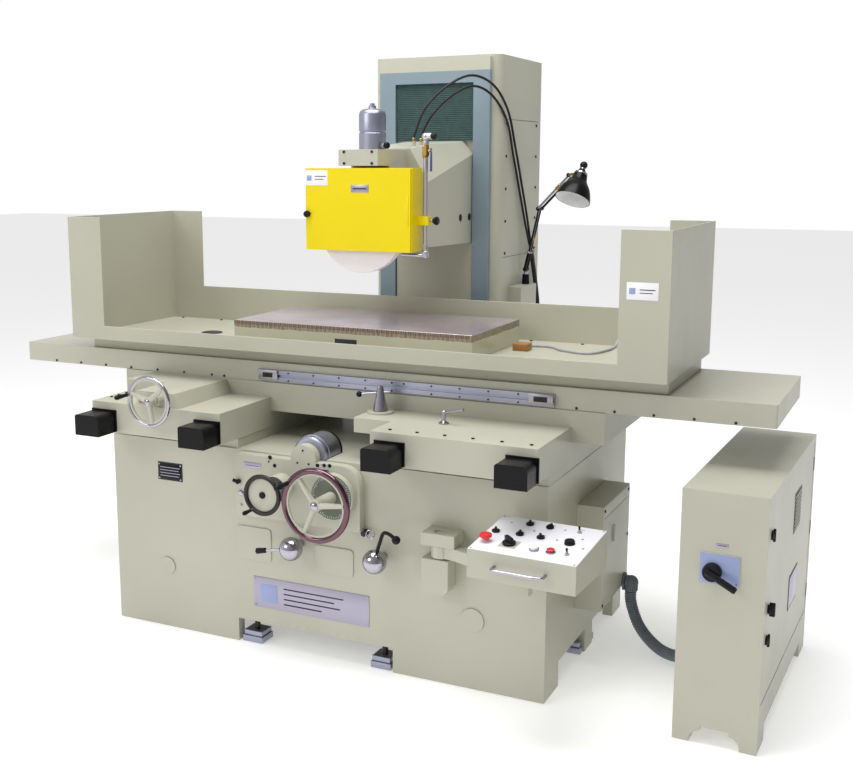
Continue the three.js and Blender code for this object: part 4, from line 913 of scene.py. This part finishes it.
def coolant_pipe():
    """Coolant riser on the guard: its nut, valve, elbow and cross pipe to the nozzle."""
    m = Maker("coolant_riser")
    m.rod("zinc", (*RISER, 1452), (*RISER, 1880), 9, sides=28, chamfer=0)
    m.rod("zinc", (*RISER, 1441), (*RISER, 1466), 14, sides=24)
    m.rod("zinc", (*RISER, 1474), (*RISER, 1490), 13, sides=6)
    m.rod("brass", (*RISER, 1812), (*RISER, 1852), 14, sides=6)
    m.rod("brass", (*RISER, 1806), (*RISER, 1812), 11, sides=24)
    m.rod("brass", (255, -80, 1832), (262.8, -80, 1832), 6, sides=20)
    m.rod("zinc", (*RISER, 1852), (*RISER, 1866), 13, sides=20)
    m.ball("zinc", (*RISER, 1882), 15)
    m.rod("zinc", (*RISER, 1884), (268, -80, 1884), 12.4, sides=24)
    m.rod("black", (266, -80, 1884), (285, -80, 1884), 10.6, sides=24)
    m.tube("zinc", smooth_path([(*RISER, 1450), (226, -88, 1450), (208, -92, 1450), (152.2, -92, 1450)],
            20)[0], 6, 16)
    m.finish("head", ["coolant_pipe"], "steel")
    v = Maker("coolant_lever_blade")
    v.prism("lever_blue", [(-87.6, 1757), (-72.4, 1757), (-72.4, 1790), (-75, 1841), (-85, 1841),
            (-87.6, 1790)], "X", 263.4, 267.2, 1.0)
    v.rod("steel", (263.3, -80, 1832), (267.25, -80, 1832), 5.6, sides=6)
    v.finish("coolant_valve", ["coolant_valve_lever"], "steel")


def oil_mist_unit():
    m = Maker("oil_mist_bowl")
    m.lathe("alloy", [(0, 0), (49, 0), (51, 2), (51, 60), (48.4, 63), (48.4, 67), (51, 70), (51, 130),
            (47, 141), (36, 149), (16, 152), (14, 156), (14, 162), (9, 164), (9, 171), (0, 172)],
            (0, -30, 1838.3), UP, 56)
    m.finish("head", ["oil_mist_unit"], "silver")
    f = Maker("oil_mist_outlet")
    f.rod("zinc", (47, -40, 1853), (58, -46, 1853), 11, sides=6)
    f.rod("zinc", (56, -45, 1853), (66, -50, 1853), 8, sides=20)
    f.lathe("black", [(0, 0), (9, 0), (12, 4), (12, 13), (9, 17), (0, 17)], (65, -50, 1853),
            (0.86, -0.5, 0), 24)
    f.finish("head", slot="silver")


# ---- saddle, table and chuck ------------------------------------------------------------------------
def saddle():
    casting("saddle", "cream", "saddle", 1.1)
    for k in range(1, 5):
        casting(f"way_cover_{k}", "black_gloss", "saddle", 1.6)
    m = Maker("saddle_fittings")
    m.block("brown", -668, -640, -636.6, -635.4, 912, 926, 0.4)
    m.finish("saddle", slot="cream_paint")
    screws("wing_screws", "saddle", row((-860, -560, 904), (-860, -470, 904), 3) + row((350, -600, 904),
            (850, -600, 904), 6), along=UP, radius=6, height=3)


def table():
    casting("table", "cream", "table", 3)
    casting("trip_rail", "alloy", "table", 1)
    screws("table_edge_screws", "table", [(x, -287, 969) for x in (-1371, -1240, -1109, -978, -846, -715,
            -582, -524)] + [(x, -287, 969) for x in (900, 1031, 1162, 1293, 1424)], radius=4.6, height=2.4)
    screws("trip_rail_screws", "table", [(x, -301.3, 1003) for x in (-224, -115, -6, 104, 212, 260, 369,
            478, 586, 696)] + [(x, -301.3, 974) for x in (-224, -115, -6, 104, 212, 369, 478, 586, 696)],
            radius=3.4, height=1.8)
    m = Maker("trip_dogs")
    for x0, x1 in ((-351, -269), (735, 823)):
        m.block("steel", x0, x1, -310, -301, 976, 1010, 2)
        m.block("dark_steel", x0 + 20, x1 - 20, -314, -309, 984, 1002, 1.5)
        m.rod("dark_steel", ((x0 + x1) / 2, -314, 993), ((x0 + x1) / 2, -318, 993), 5, sides=6)
    m.finish("table", slot="silver")


def magnetic_chuck():
    casting("chuck", "chuck", "table", 2.2)
    for y, label in ((-253.4, "front"), (237.4, "back")):
        slats("chuck_poles_" + label, "table", (-489, y, 1180.5), (9.8, 0, 0), 101, (5.2, 1.0, 13), "pole",
                "laminate")
    m = Maker("chuck_label")
    m.block("ink", -48, 44, -254.2, -252.8, 1122, 1142, 0.3)
    m.finish("table", slot="steel")
    screws("chuck_clamp_screws", "table", [(x, -253.2, 1062) for x in (-455, -230, 230, 465)], radius=7,
            height=3)


def splash_guard():
    casting("splash_guard", "shade_cream", "table", 1.5)
    m = Maker("guard_fittings")
    m.lathe("ink", [(0, 0), (40, 0), (44, 1.5), (40, 3), (0, 3)], (-742, -47, 1095), UP, 36)
    m.block("brown", 548, 606, 40, 100, 1095, 1122, 3)
    path, _ = smooth_path([(560, 100, 1100), (590, 150, 1101), (660, 160, 1101), (720, 101, 1101),
            (831, 66, 1101), (872, 160, 1101), (876, 283, 1102), (876, 316, 1120)], 60)
    m.tube("grey_cable", path, 4.5, 12)
    m.block("tag_white", 1080, 1182, -377, -375.8, 1357, 1413, 0.3)
    m.block("blue_plate", 1088, 1108, -377.5, -376.7, 1375, 1395, 0.2)
    m.block("ink", 1122, 1172, -377.4, -376.9, 1388, 1391)
    m.block("ink", 1122, 1164, -377.4, -376.9, 1378, 1380.5)
    m.finish("table", slot="cream_paint")
    screws("guard_flange_screws", "table", row((-1140, 300, 1095), (1160, 300, 1095), 12)
            + row((-1140, -350, 1095), (1160, -350, 1095), 12), along=UP, radius=6, height=3)


# ---- handwheels and levers --------------------------------------------------------------------------
def spoked_wheel(m, centre, rim, tube, hub, back, turn, rim_finish):
    """Rim, inner ring, three tapered spokes and a capped hub, square to the Y axis."""
    x, y, z = centre
    m.torus(rim_finish, centre, FRONT, rim, tube, 96, 20)
    ring = rim - tube
    m.lathe("cream", [(ring - 5, 0), (ring + 3, 0), (ring + 3, 9), (ring - 5, 9), (ring - 5, 0)],
            (x, y + 4.5, z), FRONT, 72)
    for k in range(3):
        a = turn + 2 * math.pi * k / 3
        out = Vector((math.cos(a), 0, math.sin(a)))
        m.rod("cream", Vector(centre) + out * hub * 0.5, Vector(centre) + out * (ring + 1), 11, 8.4, 18)
    reach = back - y
    m.lathe("cream", [(0, 0), (hub - 2, 0), (hub, 2), (hub, reach - 4), (hub + 1, reach + 4),
            (hub - 2, reach + 9), (0, reach + 9)], (x, back, z), FRONT, 40)


def hand_grip(m, centre, rim, turn, length, radius, tube):
    """Turned crank handle on a wheel's rim."""
    x, y, z = centre
    px, pz = x + rim * math.cos(turn), z + rim * math.sin(turn)
    m.rod("chrome", (px, y, pz), (px, y - tube - 10, pz), radius * 0.7, sides=20)
    length -= 9
    m.lathe("black", [(0, 0), (radius * 0.72, 0), (radius * 0.78, 3), (radius * 0.7, length * 0.2),
            (radius * 0.96, length * 0.62), (radius, length * 0.8), (radius * 0.86, length * 0.94),
            (radius * 0.5, length - 0.6), (0, length)], (px, y - tube - 9, pz), FRONT, 28)


def handwheels():
    m = Maker("wheelhead_handwheel")
    centre = (115, -700, 635)
    # the rim takes the chrome that has a painted plum room reflection in its colour
    spoked_wheel(m, centre, rim=122, tube=11, hub=22, back=-588.6, turn=2.2, rim_finish="rim")
    m.lathe("chrome", [(0, 0), (15, 0), (15, 3), (11, 7), (5, 9), (0, 9.4)], (115, -708.6, 635), FRONT, 28)
    hand_grip(m, centre, rim=122, turn=2.5, length=88, radius=11, tube=11)
    m.weld()
    m.finish("vertical_handwheel", ["vertical_handwheel"], "chrome")

    m = Maker("cross_feed_handwheel")
    centre = (-98, -700, 645)
    m.torus("dark_steel", centre, FRONT, 67, 8, 80, 18)
    m.lathe("cream", [(0, 0), (61, 0), (61, 3.4), (54, 4.8), (0, 4.8)], (-98, -693.2, 645), FRONT, 64)
    m.lathe("chrome", [(0, 0), (15, 0), (17, 3), (17, 60), (30, 62), (32, 68), (30, 70.6), (0, 70.6)],
            (-98, -622.6, 645), FRONT, 40)
    m.lathe("black", [(0, 0), (12, 0), (12, 4), (10, 6), (0, 6)], (-98, -698, 645), FRONT, 28)
    hand_grip(m, centre, rim=67, turn=4.1, length=55, radius=8, tube=8)
    m.finish("cross_handwheel", ["cross_handwheel"], "chrome")

    m = Maker("table_feed_handwheel")
    centre = (-575, -700, 936)
    spoked_wheel(m, centre, rim=88, tube=7, hub=17, back=-670.6, turn=2.8, rim_finish="chrome")
    m.lathe("chrome", [(0, 0), (12, 0), (12, 3), (8, 6), (0, 7)], (-575, -708.6, 936), FRONT, 28)
    hand_grip(m, centre, rim=88, turn=2.9, length=75, radius=9, tube=7)
    m.weld()
    m.finish("table_handwheel", ["table_handwheel"], "chrome")


def levers():
    m = Maker("table_feed_lever")
    m.ball("chrome", (-45, -600, 427), 43, 48, 28)
    m.rod("chrome", (-45, -575, 427), (-45, -526.5, 427), 15, sides=28)
    m.rod("chrome", (-75, -602, 421), (-150, -606, 408), 5, sides=18)
    m.rod("black", (-145, -606, 409), (-186, -608, 401), 9.5, 11, sides=24, chamfer=3)
    m.finish("feed_lever", ["feed_lever"], "chrome")

    m = Maker("table_speed_lever")
    m.ball("chrome", (290, -600, 430), 43, 48, 28)
    m.rod("chrome", (290, -575, 430), (290, -526.5, 430), 15, sides=28)
    m.tube("black", smooth_path([(300, -604, 462), (316, -611, 505), (336, -620, 546), (362, -630, 548),
            (390, -639, 536)], 30)[0], 6.4, 16)
    m.ball("black", (392, -640, 535), 15)
    m.finish("speed_lever", ["speed_lever"], "chrome")

    m = Maker("table_reversing_lever")
    m.lathe("chrome", [(0, 0), (25, 0), (27, 2), (26, 10), (18, 44), (12.4, 80), (12, 84), (10, 90),
            (6, 91.4), (0, 91.6)], (200, -371, 912.4), UP, 36)
    m.rod("chrome", (130, -391, 970), (234, -361, 982), 4.5, sides=16)
    m.ball("black", (126, -392, 970), 11)
    m.finish("reversing_lever", ["reversing_lever"], "chrome")

    m = Maker("saddle_clamp_lever")
    m.lathe("chrome", [(0, 0), (17, 0), (18, 1), (18, 4), (12, 7), (7.4, 10), (7, 44), (5, 45.6),
            (0, 45.6)], (475, -434, 904.4), UP, 32)
    m.rod("chrome", (469, -433, 940), (553, -446, 962), 4.5, sides=16)
    m.finish("clamp_lever", ["clamp_lever"], "chrome")


# ---- feed box ---------------------------------------------------------------------------------------
def feed_box():
    casting("feed_box", "cream", "base", 5)
    m = Maker("feed_box_fittings")
    m.lathe("dial", [(0, 0), (80, 0), (80, 0.7), (0, 0.7)], (115, -587.6, 635), FRONT, 64)
    m.lathe("chrome", [(0, 0), (47.6, 0), (47.6, 0.8), (0, 0.8)], (-98, -621.6, 645), FRONT, 48)
    for k in range(60):
        a = 2 * math.pi * k / 60
        r0 = 70 if k % 5 else 66
        m.tube("white", [(115 + r0 * math.cos(a), -588.5, 635 + r0 * math.sin(a)),
                         (115 + 77 * math.cos(a), -588.5, 635 + 77 * math.sin(a))], 0.7, 4)
    m.block("plate", -262, -188, -563.2, -561.8, 697, 717, 0.4)
    m.block("ink", -254, -196, -563.6, -563, 704, 706)
    m.block("ink", 52, 92, -563.2, -561.8, 720, 724, 0.4)
    for x, z, r in ((-149, 744, 8), (-130, 716, 7), (-155, 728, 3), (47, 737, 7), (74, 740, 7),
            (96, 741, 7)):
        m.lathe("black", [(0, 0), (r, 0), (r, 1.6), (r * 0.8, 2.6), (0, 2.6)], (x, -562, z), FRONT, 20)
    for z, r in ((596, 11), (552, 4)):
        m.lathe("chrome", [(0, 0), (r, 0), (r, 5), (r * 0.7, 8), (0, 8)], (-276, -562, z), FRONT, 24)
    m.rod("black", (-284, -562, 640), (-284, -577, 640), 9)
    m.rod("black", (-284, -572, 640), (-299, -582, 648), 6.5)
    m.finish("base", slot="cream_paint")
    screws("feed_disc_screws", "base", [(-12, -562, 784), (-35, -562, 737), (11, -562, 737)], radius=3.6,
            height=1.6)
    f = Maker("feed_motor_shell")
    f.lathe("alloy", [(0, 0), (62, 0), (67, 5), (67, 22), (69.8, 24), (69.8, 32), (67, 34), (67, 112),
            (0, 112)], (-5, -525.6, 760), BACK, 72)
    f.lathe("black", [(0, 0), (69.6, 0), (69.8, 1), (69.8, 6), (64, 8.4), (0, 8.6)], (-5, -413.8, 760),
            BACK, 72)
    f.finish("base", ["feed_motor"], "silver")


# ---- side tank --------------------------------------------------------------------------------------
def side_tank():
    casting("side_tank", "cream", "base", 5)
    m = Maker("side_tank_fittings")
    m.tube("zinc", smooth_path([(981, -60, 506), (985, -60, 506), (985, -60, 470), (985, -60, 446),
            (981, -60, 446)], 16)[0], 3, 10)
    # dark line at the tank lid's joint: painted shade in the seam
    m.block("seam", 981, 981.8, -185, 144, 560, 561.5)
    m.finish("base", slot="cream_paint")
    screws("side_tank_screws", "base", [(981.3, y, z) for y in (-180, 140) for z in (240, 414, 588)],
            along=RIGHT, radius=5.5, height=3)
    g = Maker("conduit_elbow")
    g.rod("slate", (981.7, 108, 238), (991, 108, 238), 33.8, sides=6)
    g.rod("slate", (991, 108, 238), (1012, 108, 238), 25)
    g.ball("slate", (1012, 108, 238), 26.8)
    g.rod("slate", (1012, 108, 236), (1012, 104.2, 204.8), 25.8, sides=32)
    g.finish("base", ["conduit_gland"], "silver")


# ---- switch cabinet ---------------------------------------------------------------------------------
CABINET = Matrix.Translation((1321, -566, 0)) @ Matrix.Rotation(math.radians(-1.7), 4, "Z")


def switch_cabinet():
    casting("cabinet_body", "cream", "base", 3)
    casting("cabinet_door", "cream", "cabinet_door", 2.4)
    m = Maker("cabinet_plates", CABINET)
    m.block("blue_plate", 63, 181, -3.8, -2.8, 528, 622, 0.3)
    m.block("plate", 108, 146, -1.4, 0.4, 644, 656, 0.4)
    m.block("ink", 113, 141, -1.8, -1.2, 649, 651)
    m.finish("base", slot="cream_paint")
    screws("switch_plate_screws", "base", [(x, -3.8, z) for x in (70, 174) for z in (535, 615)], radius=2.8,
            height=1.2, finish="steel", place=CABINET)
    d = Maker("cabinet_door_fittings", CABINET)
    for z, y in ((686, 62), (352, 62)):
        d.lathe("black", [(0, 0), (15, 0), (15, 6), (11, 9), (0, 9)], (258, y, z), RIGHT, 28)
        d.block("black", 262, 270, y - 5, y + 5, z - 20, z + 20, 2)
    # dark plate behind the louvre slats: painted shade inside the vent
    d.block("seam", 257.6, 259, 500, 640, 560, 700, 0.4)
    for k in range(9):
        d.block("cream", 258, 262, 510, 630, 570 + 14 * k, 577 + 14 * k, 1.5)
    d.block("ink", 257.6, 259.4, 470, 640, 300, 420, 0.5)
    d.block("plate", 259, 259.9, 476, 634, 306, 414, 0.3)
    d.finish("cabinet_door", slot="cream_paint")
    h = Maker("cabinet_hinges", CABINET)
    for z in (230, 470, 710):
        h.rod("dark_steel", (256, 912, z - 26), (256, 912, z + 26), 4.5, sides=16)
    h.finish("base", slot="cream_paint")
    k = Maker("cabinet_latch", CABINET)
    k.lathe("black", [(0, 0), (14.6, 0), (14.8, 1), (14.8, 9), (13, 11), (0, 11)], (258.5, 68, 450), RIGHT,
            30)
    k.block("black", 262, 280, 62.2, 73.8, 428.2, 471.8, 3)
    k.finish("door_latch", ["door_latch"], "black_plastic")
    s = Maker("main_switch", CABINET)
    s.lathe("black", [(0, 0), (28.6, 0), (28.8, 1), (28.8, 16), (26, 22), (20, 23.8), (0, 23.8)],
            (102, -3.5, 566), FRONT, 44)
    s.lathe("brass", [(0, 0), (9, 0), (9, 5), (7, 7), (0, 7)], (102, -26, 566), FRONT, 28)
    s.rod("black", (88, -33, 573), (180, -37, 526), 10, 10.8, sides=28, chamfer=4)
    s.finish("main_switch", ["main_switch_lever"], "black_plastic")


# ---- pendant ----------------------------------------------------------------------------------------
PENDANT = Matrix.Translation((742, -870, 538)) @ Matrix.Rotation(math.radians(-2.9), 4, "Z")
PANEL = PENDANT @ Matrix.Translation((0, 0, 91)) @ Matrix.Rotation(math.radians(6.116), 4, "X")


PANEL_WIDTH, PANEL_DEPTH = 350, 281.6


def panel_point(u, v):
    return PANEL_WIDTH * u, PANEL_DEPTH * v


def selector(name, u, v, turn, radius=13, reach=14, base=4):
    x, y = panel_point(u, v)
    m = Maker(name + "_knob", PANEL)
    m.lathe("black", [(0, 0), (radius * 0.98, 0), (radius, 1), (radius, base), (radius * 0.9, base + 1.2),
            (0, base + 1.2)], (x, y, 1.6), UP, 32)
    spin = Matrix.Rotation(turn, 3, "Z")
    m.block("black", x - radius * 0.3, x + radius * 0.3, y - radius * 0.86, y + radius * 0.86, base,
            reach - 0.3, 1.6, spin)
    m.finish(name, [name], "black_plastic")


def toggle(name, u, v):
    x, y = panel_point(u, v)
    m = Maker(name + "_lever", PANEL)
    m.ball("chrome", (x, y, 9.3), 3.9, 20, 12)
    m.rod("black", (x, y, 9.3), (x, y, 21.8), 2.6, 3.8, 16)
    m.finish(name, [name], "black_plastic")


def push(name, u, v, finish):
    x, y = panel_point(u, v)
    m = Maker(name + "_cap", PANEL)
    m.lathe(finish, [(0, 0), (11.8, 0), (11.9, 1), (11.9, 7.4), (10, 8.4), (0, 8.4)], (x, y, 4.55), UP, 32)
    m.finish(name, [name], "white_plastic")


START, STOP = (.552, .225), (.701, .234)


def pendant():
    casting("pendant_bracket", "cream", "base", 3)
    casting("pendant_arm", "cream", "pendant", 4)
    casting("pendant_box", "cream", "pendant", 2.4)
    m = Maker("panel_face", PANEL)
    m.block("white", 2, 348, 2, 279.6, -0.4, 0.5, 0.4)
    for u, v in (START, STOP):
        x, y = panel_point(u, v)
        m.lathe("chrome", [(12.4, 0), (15, 0), (15, 4), (12.4, 4), (12.4, 0)], (x, y, 0.2), UP, 32)
    for u, v in ((.65, .845), (.66, .56), (.40, .70), (.14, .83), (.86, .68), (.93, .45)):
        x, y = panel_point(u, v)
        m.lathe("plate", [(0, 0), (4, 0), (4, 0.6), (0, 0.9)], (x, y, 0.4), UP, 18)
    for u, v in ((.314, .93), (.508, .925), (.314, .63), (.512, .63), (.786, .92), (.552, .31), (.701, .32),
            (.789, .62)):
        x, y = panel_point(u, v)
        m.block("ink", x - 9, x + 9, y - 1, y + 1, 0.4, 0.75)
    m.weld()
    m.finish("pendant", slot="cream_paint")
    screws("panel_screws", "pendant", [(x, y, 0.5) for x in (9, 341) for y in (9, 272)], along=UP, radius=3,
            height=1.2, finish="steel", place=PANEL)
    h = Maker("pendant_front_handle", PENDANT)
    h.tube("chrome", smooth_path([(92, 0, 48), (92, -24, 48), (96, -33, 48), (106, -36, 48), (174, -36, 48),
            (242, -36, 48), (252, -33, 48), (256, -24, 48), (256, 0, 48)], 60)[0], 5, 16)
    h.finish("pendant", ["pendant_handle"], "chrome")
    x, y = panel_point(.089, .253)
    e = Maker("emergency_stop_cap", PANEL)
    e.lathe("red", [(0, 0), (12, 0), (12, 5), (19.6, 7), (19.9, 10), (19.9, 13), (17, 16), (0, 16.9)],
            (x, y, 9.05), UP, 44)
    e.finish("emergency_stop", ["emergency_stop"], "red_plastic")
    push("start_button", *START, "white")
    push("stop_button", *STOP, "red")
    selector("selector_1", .088, .53, 0.4)
    selector("selector_2", .314, .845, 0.2)
    selector("selector_3", .508, .841, -0.3)
    selector("selector_4", .314, .545, 0.1)
    selector("selector_5", .512, .546, 0.5)
    selector("main_rotary", .306, .266, 0.9, 21, 26, 7)
    toggle("feed_toggle", .786, .837)
    toggle("lamp_toggle", .846, .24)
    x, y = panel_point(.789, .518)
    d = Maker("speed_dial_knob", PANEL)
    d.lathe("black", [(0, 0), (16.8, 0), (17, 1), (15.4, 11), (14.4, 12.8), (0, 12.9)], (x, y, 0.3), UP, 36)
    d.block("white", x - 0.8, x + 0.8, y + 2, y + 13, 12.4, 13.0)
    d.finish("speed_dial", ["speed_dial"], "black_plastic")


# ---- work lamp --------------------------------------------------------------------------------------
POST = (315, 844)
LAMP_BASE = Vector((*POST, 0))
REACH = Vector((math.cos(math.radians(-10.4)), math.sin(math.radians(-10.4)), 0))


def lamp_point(out, height, aside=0.0):
    p = LAMP_BASE + REACH * out + Vector((-REACH.y, REACH.x, 0)) * aside
    return Vector((p.x, p.y, height))


def pivot(m, finish, spot, near, far, radius):
    m.rod(finish, lamp_point(*spot, near), lamp_point(*spot, far), radius, sides=24)


def work_lamp():
    """Two-link lamp on the junction box, its bell turned towards the table."""
    shoulder, elbow, wrist, barrel = (0, 1328.3), (64, 1594), (212, 1738), 9
    m = Maker("lamp_socket")
    m.rod("black_gloss", (*POST, 1262.5), (*POST, 1306), 17, 15, sides=32, chamfer=2)
    m.rod("chrome", (*POST, 1300), (*POST, 1318.9), 9.8, sides=28)
    m.finish("lamp_post", ["lamp_post"], "black_paint")
    m = Maker("lamp_lower_links")
    pivot(m, "black", shoulder, -14, 14, barrel)
    pivot(m, "black", elbow, -14, 14, barrel)
    for side in (-9, 9):
        m.rod("black", lamp_point(*shoulder, side), lamp_point(*elbow, side), 4.0, sides=16)
        m.rod("black_gloss", lamp_point(0, 1330, side), lamp_point(17, 1398, side), 6.4, sides=20)
        m.rod("chrome", lamp_point(17, 1398, side), lamp_point(19, 1406, side), 7.2, sides=20)
    m.rod("brass", lamp_point(29, 1448, 9), lamp_point(34, 1468, 9), 7, sides=20)
    a, b = lamp_point(20, 1412), lamp_point(58, 1570)
    step, wide = (b - a) / 240, REACH.cross(b - a).normalized()
    coil = [(k, k * 0.785) for k in range(241)]
    m.tube("chrome", [a + step * k + (REACH * math.cos(t) + wide * math.sin(t)) * 3.6 for k, t in coil],
            0.9, 5)
    m.finish("lamp_lower_arm", ["lamp_lower_arm"], "chrome")
    m = Maker("lamp_upper_links")
    pivot(m, "black", elbow, -22, -14.3, barrel)
    pivot(m, "black", elbow, 14.3, 22, barrel)
    pivot(m, "brass", wrist, -22, 22, barrel - 0.2)
    for side, finish in ((-18, "chrome"), (18, "black")):
        m.rod(finish, lamp_point(*elbow, side), lamp_point(*wrist, side), 5.2, sides=18)
    m.rod("brass", lamp_point(150, 1677.6, -18), lamp_point(170, 1697, -18), 7.4, sides=20)
    m.finish("lamp_upper_arm", ["lamp_upper_arm"], "chrome")
    axis = Vector((-0.143, -0.46, -0.877)).normalized()
    top = lamp_point(298, 1752, -75)
    m = Maker("lamp_bell")
    outer = [(0, -10), (12, -10), (14, -8), (16, 0), (26, 6), (30, 22), (34, 40), (42, 53), (52, 66),
            (60, 80), (66, 96), (71, 112), (74, 128)]
    inner = [(71.5, 127.6), (68.5, 112), (63.5, 96.4), (57.6, 81), (49.8, 67.6), (39.8, 54.4), (31.8, 42),
            (0, 38)]
    m.lathe("black_gloss", outer + [(71.5, 127.9)], top, axis, 64)
    m.lathe("lamp_white", inner, top, axis, 64)
    m.lathe("chrome", [(26.6, 5.2), (27.4, 6.4), (29, 13), (28.2, 14), (26.6, 5.2)], top, axis, 48)
    m.rod("chrome", top - axis * 20, top - axis * 9, 11, 13, 28)
    m.ball("black", top - axis * 30, 16)
    m.ball("lamp_white", Vector(top) + axis * 72, 24, 32, 20)
    m.rod("brass", Vector(top) + axis * 38, Vector(top) + axis * 52, 13, sides=24)
    pivot(m, "black", wrist, -32, -22.3, barrel)
    m.rod("brass", lamp_point(*wrist, -28), Vector(top) + axis, 5, sides=16)
    m.weld()
    caps = [f for f in m.bm.faces if len(f.verts) > 50]
    bmesh.ops.delete(m.bm, geom=caps, context="FACES_ONLY")
    m.finish("lamp_shade", ["lamp_shade"], "black_paint")


def elevating_screw():
    """Threaded screw behind the wheelhead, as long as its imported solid."""
    m = Maker("elevating_screw_thread")
    low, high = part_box("elevating_screw")
    z0, z1 = low[2] / MM, high[2] / MM
    m.rod("steel", (0, 660, z0), (0, 660, z1), 20.4, sides=32)
    pitch, steps, run_out, radius = 12, 20, 10, 19.8
    turns = int((z1 - z0 - 2 * run_out) / pitch)
    m.tube("steel", [(radius * math.cos(a), 660 + radius * math.sin(a), z0 + run_out + pitch * a
            / (2 * math.pi)) for a in (2 * math.pi * k / steps for k in range(turns * steps))], 2, 5)
    m.finish("elevating_screw", ["elevating_screw"], "steel")


set_camera()
set_stage()
mix_finishes()
for make in (supply_conduit, lubrication_hoses, bed, column, column_front, folded_way_cover,
             elevating_screw, wheelhead, grinding_spindle, wheel_guard, coolant_pipe, oil_mist_unit,
             saddle, table, magnetic_chuck, splash_guard, handwheels, levers, feed_box, side_tank,
             switch_cabinet, pendant, work_lamp):
    make()
